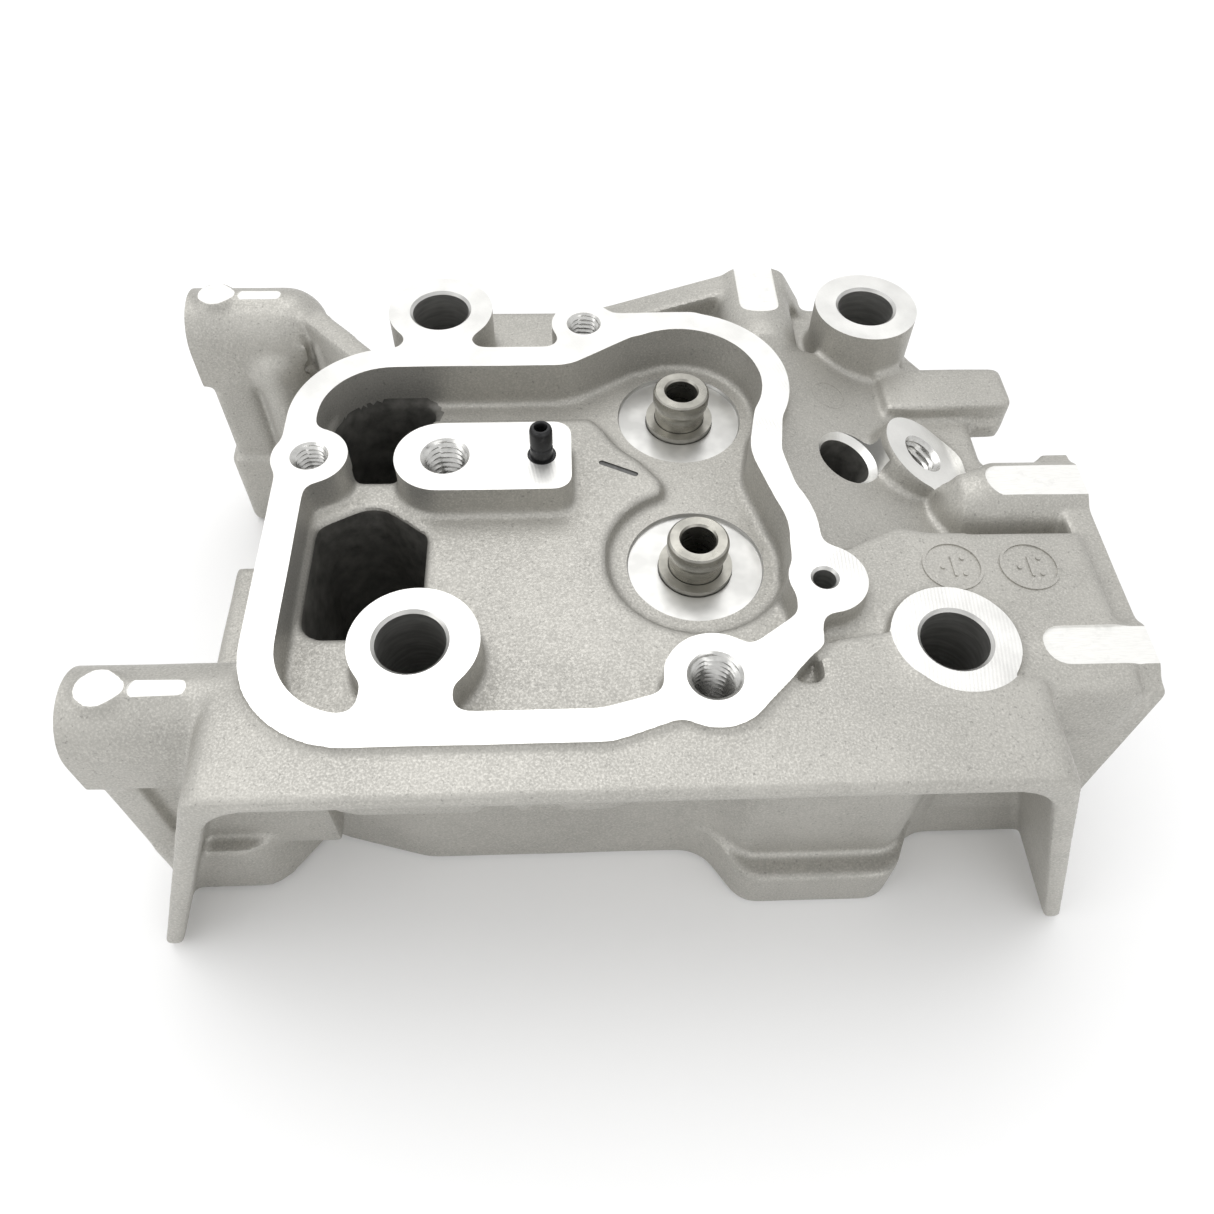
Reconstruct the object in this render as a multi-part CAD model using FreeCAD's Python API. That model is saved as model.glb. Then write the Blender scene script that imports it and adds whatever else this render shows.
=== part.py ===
import FreeCAD, Part
import math
import os

from FreeCAD import Rotation, Vector

# A bare air-cooled overhead-valve cylinder head: one aluminium casting with its
# pressed-in guides, collars, seats and rocker locating pin.  Millimetres.
#
# Frame: the origin is the centre of the four head bolts on the gasket face,
# +Z points along the cylinder axis to the rocker cover, +X to the exhaust
# flange and +Y to the intake flange.

# ---------------------------------------------------------------- overall
head_height = 59.0        # gasket face to cover face
left_reach = 93.8         # bolt centre to the two left shroud bosses
right_reach = 74.8        # bolt centre to the exhaust flange
front_reach = 65.5        # bolt centre to the edge of the shroud plate
back_reach = 56.0         # bolt centre to the intake flange

# ---------------------------------------------------------------- head bolts
bolt_pitch_x = 85.0
bolt_pitch_y = 79.0
bolt_hole_d = 11.0
bolt_boss_d = 20.4
bolt_boss_drop = (0.0, 0.0, 0.0, 2.5)   # boss tops below the cover face
inner_boss_shift = 0.5    # the boss inside the rocker box sits off its hole

# ---------------------------------------------------------------- rocker box
rim_wall = 5.3            # width of the cover face
box_left = 68.3           # outside of the left wall
box_front = 57.3          # outside of the front wall
box_back = 28.2           # outside of the straight back wall
box_corner = 18.0         # outside corner radius
floor_depth = 7.0         # cover face to the main floor
low_floor_depth = 9.6     # cover face to the floor around the springs
spring_seat_d = 23.4
well_d = 31.0             # the low floor round each spring seat
spring_seat_depth = 10.4
window_left = 62.0
window_right = 42.6
bridge_y = -3.0
bridge_width = 6.6
window_back = 22.3
window_corner = 11.0      # the back window follows the corner of the wall
window_front = -33.6
tunnel_floor = 15.0       # height of the pushrod tunnel's floor
pushrod_hole_d = 13.0
pushrod_x = -52.0
pushrod_pitch = 30.0

# ---------------------------------------------------------------- rocker pad
pad_width = 16.3
pad_left = -48.5
pad_right = -17.3
pad_drop = 0.5
stud_x = -39.5            # M8 rocker stud
pin_x = -22.5             # rocker plate locating pin

# ---------------------------------------------------------------- valve gear
valve_x = 3.8
valve_pitch = 36.4
guide_bore_d = 6.0
guide_body_d = 11.0
guide_neck_d = 9.4
guide_bead_d = 10.6
guide_bead_height = 3.0
guide_top_drop = 2.5
guide_length = 28.0
collar_set = 1.2          # the collar's foot in its pocket
collar_play = 0.1
collar_height = 3.4       # the cone of the collar above the spring seat
seat_height = 6.0
intake_seat_d = 33.0
intake_throat_d = 26.0
exhaust_seat_d = 30.0
exhaust_throat_d = 23.0
pin_d = 4.0
pin_bore_d = 2.0
pin_stand = 6.6           # pin above the pad
pin_set = 9.0             # pin below the pad
pin_seat_d = 5.0          # the pressed-in part of the pin

# ---------------------------------------------------------------- chamber and ports
squish_d = 77.0
squish_depth = 1.0
chamber_depth = 9.0
chamber_reach = 17.6      # round the valves
port_d = 25.0
port_height = 28.5        # port centre above the gasket face
port_mouth = 24.0         # length of the straight bore at each flange
runner_d = 23.0           # the passage behind it
plug_thread_d = 10.65     # tapping size of the M12 plug thread
plug_chamfer_d = 13.0
plug_clear = 4.0          # room above the mouth, through the sloping deck
plug_tilt = 22.0
plug_reach = 26.5
plug_pocket_d = 15.0
plug_point = (34.5, 5.5, 8.0)      # mouth of the hole: x, y, drop

# ---------------------------------------------------------------- tapped holes
m6_hole_d = 5.0
m8_hole_d = 6.8
chamfer = 0.9
cover_m6 = ((-14.3, 35.0, 12.6), (-63.0, 0.0, 13.4))    # x, y, boss diameter
cover_m8 = (3.5, -46.8, 16.6)
vent_hole = (23.0, -28.8, 14.0, 3.8)                    # x, y, boss, hole
vent_depth = 14.0
m6_depth = 15.0
m8_depth = 18.0
ear_point = (49.4, 7.2, 9.0)       # tilted M8 boss: x, y, drop
ear_tilt = 28.0
ear_d = 18.0
ear_depth = 14.0

# ---------------------------------------------------------------- outside
plate_thick = 3.2
plate_drop = 1.0          # shroud plate below the cover face
plate_left = -69.5
plate_right = 51.3
leg_bottom_left = -91.5
leg_bottom_right = 71.5
leg_back = -47.4          # back edge of the right leg
near_deck_drop = 4.2
shelf_drop = 9.0          # top of the right back shelf
shelf_low_drop = 17.0     # underside of that shelf
slope_high_drop = 3.6     # plug deck at the rim
slope_low_drop = 12.6     # plug deck at its foot
slope_start = 21.0
slope_end = 50.0
lower_wall_y = -49.8      # front wall of the block
side_boss_d = 16.4
side_boss_pitch = 92.4    # the two left bosses
side_boss_drop = 9.5
side_boss_length = 26.0
side_boss_hole_d = 6.8
knuckle_d = 14.0          # the round lump under the back left boss
flange_thick = 5.0
flange_low = 12.0
flange_top_drop = 6.2
exhaust_boss_y = (-39.9, -4.0)
exhaust_boss_drop = 12.0
exhaust_boss_d = 16.4
intake_boss_x = (-10.5, 21.9)
intake_boss_drop = (22.0, 9.2)
intake_boss_d = 15.4
web_drop = 3.1            # flat top of the intake flange's web
flange_hole_depth = 16.0
ejector_pad_d = 7.4       # round pad on top of each left boss
ejector_slot = 11.0       # the flat bar that runs from it
pad_rise = 0.8
fin_thick = 2.6
fin_pitch = 8.0
fin_count = 4
air_slots = (-30.0, -22.5)    # centres of the two air passages
air_slot_width = 6.0
air_slot_low = 22.0
air_slot_high = 38.0

# derived
half_x = bolt_pitch_x / 2
half_y = bolt_pitch_y / 2
bolts = ((-half_x, half_y), (-half_x, -half_y), (half_x, half_y), (half_x, -half_y))
valve_y = valve_pitch / 2
valves = ((valve_x, valve_y), (valve_x, -valve_y))
main_floor = head_height - floor_depth
low_floor = head_height - low_floor_depth
spring_seat = head_height - spring_seat_depth
pad_top = head_height - pad_drop
web_top = head_height - web_drop
collar_pocket_d = guide_body_d + 2.0
guide_top = head_height - guide_top_drop
inner_front = -(box_front - rim_wall)
inner_back = box_back - rim_wall
inner_left = -(box_left - rim_wall)
up = Vector(0, 0, 1)
right = Vector(1, 0, 0)
back = Vector(0, 1, 0)


# ---------------------------------------------------------------- helpers
def outline(corners):
    """A flat face from corners (x, y) or (x, y, corner radius)."""
    turning = sum(a[0] * b[1] - b[0] * a[1] for a, b in zip(corners, corners[1:] + corners[:1]))
    corners = corners if turning > 0 else corners[::-1]
    points = [Vector(c[0], c[1], 0) for c in corners]
    radii = [c[2] if len(c) > 2 else 0 for c in corners]
    edges = []
    joints = []
    for i, point in enumerate(points):
        before = (points[i - 1] - point).normalize()
        after = (points[(i + 1) % len(points)] - point).normalize()
        if radii[i] <= 0:
            joints.append((point, point))
            continue
        half = before.getAngle(after) / 2
        run = radii[i] / math.tan(half)
        start = point + before * run
        end = point + after * run
        middle = (before + after).normalize()
        crown = point + middle * (radii[i] / math.sin(half) - radii[i])
        edges.append(Part.Arc(start, crown, end).toShape())
        joints.append((start, end))
    for i, (start, end) in enumerate(joints):
        following = joints[(i + 1) % len(joints)][0]
        if end.distanceToPoint(following) > 1e-6:
            edges.append(Part.LineSegment(end, following).toShape())
    return Part.Face(Part.Wire(Part.__sortEdges__(edges)))


def disc(x, y, diameter):
    return Part.Face(Part.Wire(Part.makeCircle(diameter / 2, Vector(x, y, 0))))


def largest(shape):
    return max(shape.Faces, key=lambda face: face.Area)


def joined(faces):
    """The union of overlapping flat faces, as one face."""
    return largest(faces[0].multiFuse(faces[1:]).removeSplitter())


def softened(face, inside, outside):
    """Rounds the concave corners of a flat face by inside, the convex ones by outside."""
    steps = ((inside, -inside), (-outside, outside))
    for pair in steps:
        for step in pair:
            if step:
                face = largest(face.makeOffset2D(step))
    return face


def raised(face, bottom, top):
    lifted = face.copy()
    lifted.translate(Vector(0, 0, bottom))
    return lifted.extrude(Vector(0, 0, top - bottom))


def block(low, high):
    size = [b - a for a, b in zip(low, high)]
    return Part.makeBox(*size, Vector(*low))


def post(x, y, bottom, top, diameter):
    return Part.makeCylinder(diameter / 2, top - bottom, Vector(x, y, bottom))


def rod(start, direction, length, diameter):
    return Part.makeCylinder(diameter / 2, length, start, direction)


def fused(solids):
    return solids[0].multiFuse(solids[1:]) if len(solids) > 1 else solids[0]


def tapped(mouth, direction, depth, hole_d):
    """A blind hole from its mouth along direction, with a drilled point and a chamfer."""
    radius = hole_d / 2
    point = Part.makeCone(radius, 0, radius * 0.6, mouth + direction * depth, direction)
    lead = Part.makeCone(radius + chamfer, radius, chamfer, mouth, direction)
    return fused([rod(mouth, direction, depth, hole_d), point, lead])


def leaning(degrees):
    """A unit vector leaning from +Z towards +X."""
    angle = math.radians(degrees)
    return Vector(math.sin(angle), 0, math.cos(angle))


def profile_x(corners, y_low, y_high):
    """A prism along Y from an outline drawn in X and Z."""
    face = outline(corners)
    face.rotate(Vector(0, 0, 0), right, 90)
    face.translate(Vector(0, y_high, 0))
    return face.extrude(Vector(0, y_low - y_high, 0))


# ---------------------------------------------------------------- the cover face
def box_outside():
    """The outer outline of the rocker box."""
    lobe = 40.0
    walls = outline((
        (-box_left, -box_front, box_corner),
        (-box_left, box_back, box_corner),
        (valve_x - 24.5, box_back, 2),
        (valve_x - 14.0, valve_y + 19.8, 3),
        (valve_x + 4.0, valve_y + 20.0),
        (valve_x + 19.2, valve_y + 2.0),
        (20.0, 0),
        (valve_x + 19.2, -valve_y - 1.0),
        (21.6, -36.0),
        (20.6, -41.5),
        (9.0, -53.5),
        (-1.5, -53.6, 3),
        (-12.0, -box_front, 10),
    ))
    rounds = [disc(x, y, lobe) for x, y in valves]
    bosses = [disc(x, y, d) for x, y, d in cover_m6]
    bosses.append(disc(cover_m8[0], cover_m8[1], cover_m8[2] + 0.8))
    bosses.append(disc(*vent_hole[:3]))
    neck = outline((
        (-49.0, inner_back), (-36.5, inner_back), (-36.5, half_y), (-49.0, half_y)))
    bolt = disc(-half_x, half_y, bolt_boss_d)
    return softened(joined([walls, neck, bolt] + rounds + bosses), 2.4, 0)


def box_inside():
    """The inner outline of the rocker box, with the bosses left standing."""
    lobe = 29.8
    hall = outline((
        (inner_left, inner_front, box_corner - rim_wall),
        (inner_left, inner_back, box_corner - rim_wall),
        (-17.5, inner_back, 8),
        (-4.5, 31.2),
        (valve_x, valve_y),
        (valve_x + 12.6, 10.0),
        (14.2, 0, 12),
        (valve_x + 14.4, -15.0),
        (valve_x + 14.6, -valve_y - 4),
        (17.7, -35.6, 2),
        (9.0, -42.0),
        (-4.0, -44.0),
        (-4.4, -49.4, 2),
        (-14.0, inner_front, 10),
    ))
    rounds = [disc(x, y, lobe) for x, y in valves]
    room = joined([hall] + rounds)
    bolt = disc(-half_x + inner_boss_shift, -half_y, bolt_boss_d)
    neck = outline((
        (-49.8, inner_front - 1), (-35.2, inner_front - 1), (-36.5, -half_y), (-48.5, -half_y)))
    bosses = [disc(x, y, d) for x, y, d in cover_m6]
    bosses.append(disc(cover_m8[0], cover_m8[1], cover_m8[2] - 1.2))
    bosses.append(disc(vent_hole[0], vent_hole[1], vent_hole[2] - 2.2))
    room = room.cut(joined([bolt, neck]))
    for boss in bosses:
        room = room.cut(boss)
    return softened(largest(room), 1.0, 2.4)


# ---------------------------------------------------------------- the casting
def block_outline(grow=0.0):
    """The outline of the block between the gasket face and the decks."""
    return outline((
        (-66.0, -44.0, 5),
        (-46.0, lower_wall_y, 12),
        (6.0, lower_wall_y, 8),
        (13.0, -55.5 - grow, 6),
        (40.0, -55.5 - grow, 6),
        (46.0, -47.4, 8),
        (70.5, -47.4, 1),
        (70.5, -30.0, 4),
        (68.0, 4.0, 4),
        (57.0, 12.0, 4),
        (57.0, 34.0, 6),
        (50.0, 46.5, 6),
        (-48.0, 46.5, 8),
        (-66.0, 30.0, 8),
    ))


def lower_body():
    """The block, its front bulge and the low pushrod housing on the left."""
    top = head_height - slope_low_drop
    core = raised(block_outline(), 0, top)
    bulge = raised(block_outline(5.0), 0, 11.0)
    housing = raised(outline((
        (-92.5, -55.0, 3),
        (-73.5, -55.0, 8),
        (-62.0, -40.0, 4),
        (-58.0, 9.0, 4),
        (-92.0, 9.0, 3),
    )), 0, 17.0)
    heel = raised(outline((
        (-94.0, 37.0, 2), (-60.0, 37.0), (-60.0, 48.0), (-94.0, 48.0, 2))), 0, 20.0)
    return [core, bulge, housing, heel]


def decks():
    """The flat near deck, the sloping plug deck and the back deck."""
    low = head_height - slope_low_drop - 4
    near = raised(outline((
        (10.0, -49.0), (70.5, -49.0), (70.5, -16.5), (44.0, -16.0, 2),
        (38.7, -14.5, 2), (28.2, -19.6, 2), (10.0, -19.6))), low,
        head_height - near_deck_drop)
    ledge = raised(outline((
        (20.0, -50.0), (35.0, -50.0), (35.0, -38.0, 2), (24.0, -39.5, 2), (20.0, -41.0))),
        low, head_height - plate_drop)
    high_z = head_height - slope_high_drop
    low_z = head_height - slope_low_drop
    slope = profile_x((
        (15.0, low), (15.0, high_z), (slope_start, high_z, 4), (slope_end, low_z, 12),
        (62.0, low_z), (62.0, low)), -22.0, 34.5)
    shelf = raised(outline((
        (45.0, 19.6), (70.6, 20.3, 2), (70.6, 31.4, 2), (45.0, 31.4))),
        head_height - shelf_low_drop, head_height - shelf_drop)
    lip = raised(outline((
        (45.0, 18.0), (69.6, 18.8, 2), (69.6, 30.0), (45.0, 30.0))),
        head_height - shelf_low_drop, head_height - shelf_drop - 4.5)
    rear = raised(outline((
        (-40.0, 20.0), (40.0, 20.0), (40.0, 53.0, 3), (-40.0, 53.0, 3))), low,
        head_height - 11.0)
    return [near, ledge, slope, shelf, lip, rear]


def shroud():
    """The front shroud plate with its two splayed legs, one rolled sheet."""
    top = head_height - plate_drop
    t = plate_thick
    lean_left = (leg_bottom_left - plate_left) / head_height
    lean_right = (leg_bottom_right - plate_right) / head_height
    inside = 9.0
    section = (
        (leg_bottom_left - t / 2, 0, 1.0),
        (plate_left - t * 0.9, top, 3.0),
        (plate_right + t * 0.9, top, 3.0),
        (leg_bottom_right + t / 2, 0, 1.0),
        (leg_bottom_right - t / 2, 0, 1.0),
        (plate_right - t * 0.4 + lean_right * t, top - t, inside),
        (plate_left + t * 0.4 + lean_left * t, top - t, inside),
        (leg_bottom_left + t / 2, 0, 1.0),
    )
    sheet = profile_x(section, -front_reach, leg_back)
    return [sheet]


def side_boss(sign):
    """One horizontal boss on the left with its web down to the housing."""
    y = sign * side_boss_pitch / 2
    z = head_height - side_boss_drop
    half = side_boss_d / 2
    barrel = rod(Vector(-left_reach, y, z), right, side_boss_length + 6, side_boss_d)
    cheek = block((-left_reach, y - half, z - half - 0.6), (-66.0, y + half, z))
    web_z = 17.0
    web_far = y + half if sign > 0 else y - half + 1.5
    web_near = y - half + 1.0
    low_y, high_y = sorted((web_near, web_far + (6.0 if sign < 0 else 0)))
    web = block((-92.5, low_y, web_z - 5), (-86.5, high_y, z - half + 1))
    inner = block((-88.0, high_y - 5.0, web_z - 4), (-60.0, high_y, z))
    parts = [barrel, cheek, web, inner]
    if sign > 0:
        parts.append(gusset_web())
        parts.append(raised(outline((
            (-92.5, y - half + 0.5, 1), (-84.5, y - half + 0.5, 2), (-70.0, y, 4),
            (-60.0, y), (-60.0, y + half), (-92.5, y + half))), web_z - 5, z - half + 1))
        parts.append(Part.makeSphere(knuckle_d / 2, Vector(-77.0, y - 4.0, z - 5.5)))
    return parts


def gusset_web():
    """The thin web from the back left boss across to the rocker box corner."""
    z = head_height
    face = Part.makePolygon([
        Vector(-70.0, 44.0, z - 3.0), Vector(-50.0, 28.5, z - 3.0),
        Vector(-50.0, 28.5, z - 24.0), Vector(-70.0, 44.0, z - 24.0),
        Vector(-70.0, 44.0, z - 3.0)])
    return Part.Face(face).extrude(Vector(4.0, 5.2, 0))


def exhaust_flange():
    """The flange and its two bolt bosses on the right."""
    z = head_height - exhaust_boss_drop
    half = exhaust_boss_d / 2
    y_low = exhaust_boss_y[0] - half
    y_high = exhaust_boss_y[1] + half
    plate = block((right_reach - flange_thick, y_low, flange_low),
                  (right_reach, y_high, head_height - flange_top_drop))
    cheeks = []
    for y in exhaust_boss_y:
        start = Vector(right_reach, y, z)
        cheeks.append(rod(start, right.negative(), 17.5, exhaust_boss_d))
        cheeks.append(Part.makeSphere(half, start - right * 17.5))
        cheeks.append(block((57.0, y - half, flange_low + 8), (right_reach, y + half, z)))
    body = block((50.0, y_low, flange_low), (right_reach, y_high, head_height - 16.0))
    return [plate, body] + cheeks


def intake_flange():
    """The flange, its two bolt bosses and the sloping web at the back."""
    low_z, z = (head_height - drop for drop in intake_boss_drop)
    half = intake_boss_d / 2
    left_x, right_x = intake_boss_x
    parts = []
    wall = profile_x((
        (left_x - half, flange_low), (left_x - half, head_height - 15.0, 4),
        (left_x + 3.0, head_height - 11.8, 3), (right_x - 2.1, web_top, 2),
        (right_x + 6.0, web_top, 3), (right_x + half + 3.8, head_height - 11.7, 3),
        (right_x + half + 3.8, flange_low)),
        back_reach - 6.0, back_reach)
    parts.append(wall)
    barrel = rod(Vector(right_x, back_reach, z), back.negative(), 19.0, intake_boss_d)
    parts.append(barrel)
    parts.append(Part.makeSphere(half, Vector(right_x, back_reach - 19.0, z)))
    parts.append(block((right_x - half, 36.0, 30.0), (right_x + half, back_reach, z)))
    parts.append(rod(Vector(left_x, back_reach, low_z), back.negative(), 14.0,
                     intake_boss_d))
    parts.append(block((left_x - half, 40.0, flange_low), (right_x + half, back_reach,
                                                           head_height - 16.0)))
    return parts


def fins():
    """Cooling fins on the back wall, each side of the intake flange."""
    parts = []
    for i in range(fin_count):
        z = 5.0 + fin_pitch * i
        for x_low, x_high in ((-60.0, -24.0), (32.0, 55.0)):
            parts.append(block((x_low, 40.0, z), (x_high, 53.0, z + fin_thick)))
    return parts


def ejector_pads():
    """Shallow round pads and slots that are ground flat on the horizontal bosses."""
    parts = []
    boss_top = head_height - side_boss_drop + side_boss_d / 2
    for sign in (1, -1):
        y = sign * side_boss_pitch / 2
        parts.append(post(-88.0, y, boss_top - 3.0, boss_top + pad_rise, ejector_pad_d))
        parts.append(block((-86.0, y - 1.5, boss_top - 3.0),
                           (-86.0 + ejector_slot, y + 1.5, boss_top + pad_rise / 2)))
    return parts


def bosses():
    """The free-standing bolt bosses and the tilted M8 boss."""
    parts = []
    for (x, y), drop in zip(bolts, bolt_boss_drop):
        parts.append(post(x, y, 0, head_height - drop, bolt_boss_d))
    ear = Vector(ear_point[0], ear_point[1], head_height - ear_point[2])
    axis = leaning(ear_tilt)
    parts.append(rod(ear - axis * 16.0, axis, 16.0, ear_d))
    return parts


def rocker_room():
    """What is hollow above the floors of the rocker box."""
    inside = box_inside()
    tops = [raised(inside, main_floor, head_height + 1)]
    strip = outline((
        (inner_left - 5, 16.2), (valve_x + 20, 16.2), (valve_x + 20, 40.0),
        (inner_left - 5, 40.0)))
    waist = outline((
        (-14.0, 17.0), (-4.0, 4.1), (0.0, -1.5, 3), (-4.0, -7.0), (valve_x, -valve_y),
        (valve_x + 20, -valve_y), (valve_x + 20, valve_y), (valve_x, valve_y)))
    wells = [disc(x, y, well_d) for x, y in valves]
    low = inside.common(joined([waist, strip] + wells))
    for face in low.Faces:
        tops.append(raised(face, low_floor, main_floor + 1))
    return tops


def rocker_pad():
    """The pad that carries the rocker stud and the locating pin."""
    half = pad_width / 2
    face = outline((
        (pad_left, -half, half - 0.05), (pad_left, half, half - 0.05),
        (pad_right, half, 3), (pad_right, -half, 3)))
    return raised(face, main_floor - 6, pad_top)


def pushrod_windows():
    """Two windows in the floor and the tunnel below them."""
    half = bridge_width / 2
    back_window = outline((
        (-window_left, bridge_y + half, 2), (-window_left, window_back, window_corner),
        (-window_right - 1, window_back, 2),
        (-window_right - 1, bridge_y + half, 2)))
    front_window = outline((
        (-window_left, window_front, 4), (-window_left, bridge_y - half - 4, 3),
        (-52.0, bridge_y - half + 1.5, 6), (-window_right, bridge_y - half - 6, 3),
        (-window_right, window_front, 4)))
    cuts = [raised(face, tunnel_floor, main_floor + 1)
            for face in (back_window, front_window)]
    for sign in (1, -1):
        y = bridge_y - 1 + sign * pushrod_pitch / 2
        cuts.append(post(pushrod_x, y, -1, tunnel_floor + 1, pushrod_hole_d))
    return cuts


def air_passages():
    """Slots that let cooling air through the block, between the floors."""
    cuts = []
    half = air_slot_width / 2
    for x in air_slots:
        face = outline((
            (x - half, air_slot_low, 3), (x - half, air_slot_high, 3),
            (x + half, air_slot_high, 3), (x + half, air_slot_low, 3)))
        face.rotate(Vector(0, 0, 0), right, 90)
        face.translate(Vector(0, back_reach + 1, 0))
        cuts.append(face.extrude(Vector(0, -2 * front_reach, 0)))
    return cuts


def chamber():
    """The squish recess and the combustion chamber round the valves."""
    squish = raised(disc(0, 0, squish_d), -1, squish_depth)
    roof = outline((
        (valve_x - chamber_reach, -valve_y - chamber_reach, chamber_reach - 0.1),
        (valve_x + chamber_reach, -valve_y - chamber_reach, chamber_reach - 0.1),
        (valve_x + chamber_reach + 5, 3.0, 12),
        (valve_x + chamber_reach, valve_y + chamber_reach, chamber_reach - 0.1),
        (valve_x - chamber_reach, valve_y + chamber_reach, chamber_reach - 0.1)))
    return [squish, raised(roof, -1, chamber_depth)]


def ports():
    """The two ports, their throats and the pockets that hold the valve seats."""
    cuts = []
    flows = ((valves[0], back, back_reach - valve_y, intake_seat_d, intake_throat_d),
             (valves[1], right, right_reach - valve_x, exhaust_seat_d, exhaust_throat_d))
    for (x, y), way, run, seat_d, throat_d in flows:
        start = Vector(x, y, port_height)
        cuts.append(rod(start + way * (run - port_mouth), way, port_mouth + 1, port_d))
        cuts.append(rod(start, way, run - 1, runner_d))
        cuts.append(Part.makeSphere(runner_d / 2, start))
        cuts.append(post(x, y, chamber_depth - 1, port_height, throat_d))
        cuts.append(post(x, y, chamber_depth - 1, chamber_depth + seat_height, seat_d))
    return cuts


def plug_hole():
    """The tilted plug hole: chamfer, thread and the pocket down to the chamber."""
    mouth = Vector(plug_point[0], plug_point[1], head_height - plug_point[2])
    axis = leaning(plug_tilt)
    flare = (plug_chamfer_d - plug_thread_d) / 2
    thread = rod(mouth - axis * (plug_reach + 1), axis, plug_reach, plug_thread_d)
    lead = Part.makeCone(plug_thread_d / 2, plug_chamfer_d / 2, flare, mouth - axis * flare,
                         axis)
    clear = rod(mouth, axis, plug_clear, plug_chamfer_d)
    depth = (head_height - plug_point[2] - chamber_depth) / math.cos(math.radians(plug_tilt))
    pocket = rod(mouth - axis * (depth + 3.0), axis, depth + 3.0 - plug_reach, plug_pocket_d)
    return [thread, lead, clear, pocket]


def tapped_holes():
    """Every blind threaded hole at its tapping size."""
    down = up.negative()
    holes = []
    for x, y, _ in cover_m6:
        holes.append(tapped(Vector(x, y, head_height), down, m6_depth, m6_hole_d))
    holes.append(tapped(Vector(cover_m8[0], cover_m8[1], head_height), down, m8_depth,
                        m8_hole_d))
    holes.append(tapped(Vector(stud_x, 0, pad_top), down, m8_depth, m8_hole_d))
    ear = Vector(ear_point[0], ear_point[1], head_height - ear_point[2])
    holes.append(tapped(ear, leaning(ear_tilt).negative(), ear_depth, m8_hole_d))
    for sign in (1, -1):
        mouth = Vector(-left_reach, sign * side_boss_pitch / 2, head_height - side_boss_drop)
        holes.append(tapped(mouth, right, flange_hole_depth, side_boss_hole_d))
    for y in exhaust_boss_y:
        mouth = Vector(right_reach, y, head_height - exhaust_boss_drop)
        holes.append(tapped(mouth, right.negative(), flange_hole_depth, m8_hole_d))
    for x, drop in zip(intake_boss_x, intake_boss_drop):
        mouth = Vector(x, back_reach, head_height - drop)
        holes.append(tapped(mouth, back.negative(), flange_hole_depth, m8_hole_d))
    return holes


def valve_bores():
    """Guide bores, spring seats and the pockets for the guide collars."""
    cuts = []
    for x, y in valves:
        cuts.append(post(x, y, guide_top - guide_length, head_height, guide_body_d))
        cuts.append(post(x, y, spring_seat, head_height, spring_seat_d))
        cuts.append(post(x, y, spring_seat - collar_set, head_height, collar_pocket_d))
    return cuts


def head_casting():
    box = raised(box_outside(), head_height - 24.0, head_height)
    shell = fused([box] + lower_body() + decks() + shroud() + side_boss(1)
                  + side_boss(-1) + exhaust_flange() + intake_flange() + fins() + bosses()
                  + ejector_pads()).removeSplitter()
    boss_x = intake_boss_x[1]
    flat = block((boss_x - 9.0, inner_back + 16.0, web_top), (boss_x + 9.0, back_reach + 1,
                                                             head_height + 1))
    for room in rocker_room() + [flat]:
        shell = shell.cut(room)
    inner_boss = post(bolts[1][0] + inner_boss_shift, bolts[1][1], 0, head_height,
                      bolt_boss_d)
    ear = Vector(ear_point[0], ear_point[1], head_height - ear_point[2])
    spot_face = rod(ear, leaning(ear_tilt), ear_depth, ear_d + 0.6)
    shell = fused([shell.cut(spot_face), rocker_pad()])
    shell = shell.cut(fused(pushrod_windows()))
    shell = shell.fuse(inner_boss)
    cuts = air_passages() + chamber() + ports() + plug_hole() + tapped_holes() + valve_bores()
    for x, y in bolts:
        cuts.append(post(x, y, -1, head_height + 1, bolt_hole_d))
    x, y, _, hole_d = vent_hole
    cuts.append(post(x, y, head_height - vent_depth, head_height + 1, hole_d))
    cuts.append(post(pin_x, 0, pad_top - pin_set, pad_top + 1, pin_seat_d))
    for cut in cuts:
        shell = shell.cut(cut)
    return shell


# ---------------------------------------------------------------- inserts
def turned(x, y, profile):
    """A ring turned about a vertical axis at x, y from points (radius, z)."""
    points = [Vector(r, 0, z) for r, z in profile]
    points.append(points[0])
    ring = Part.Face(Part.makePolygon(points)).revolve(Vector(0, 0, 0), up, 360)
    ring.translate(Vector(x, y, 0))
    return ring


def valve_guide(x, y):
    bore = guide_bore_d / 2
    body = guide_body_d / 2
    neck = guide_neck_d / 2
    bead = guide_bead_d / 2
    top = guide_top
    bead_low = top - guide_bead_height
    bottom = top - guide_length
    shoulder = spring_seat - collar_set
    return turned(x, y, (
        (bore + 0.5, top), (bead - 0.7, top), (bead, top - 0.8), (bead, bead_low + 0.4),
        (neck, bead_low - 0.2), (neck, shoulder), (body, shoulder), (body, bottom + 5),
        (body - 1.6, bottom), (bore, bottom), (bore, top - 0.5)))


def valve_seat(x, y, seat_d, throat_d):
    low = chamber_depth
    high = chamber_depth + seat_height
    mouth = throat_d / 2 + 2.0
    return turned(x, y, (
        (seat_d / 2, low), (seat_d / 2, high), (throat_d / 2, high),
        (throat_d / 2, low + 2.0), (mouth, low)))


def guide_collar(x, y):
    """The conical steel collar round the guide, its foot in the pocket of the spring seat."""
    inner = guide_neck_d / 2 + collar_play
    foot = collar_pocket_d / 2 - collar_play
    low = spring_seat - collar_set
    return turned(x, y, (
        (inner, low), (foot, low), (foot, spring_seat + 0.4),
        (inner + 0.5, spring_seat + collar_height), (inner, spring_seat + collar_height)))


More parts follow.
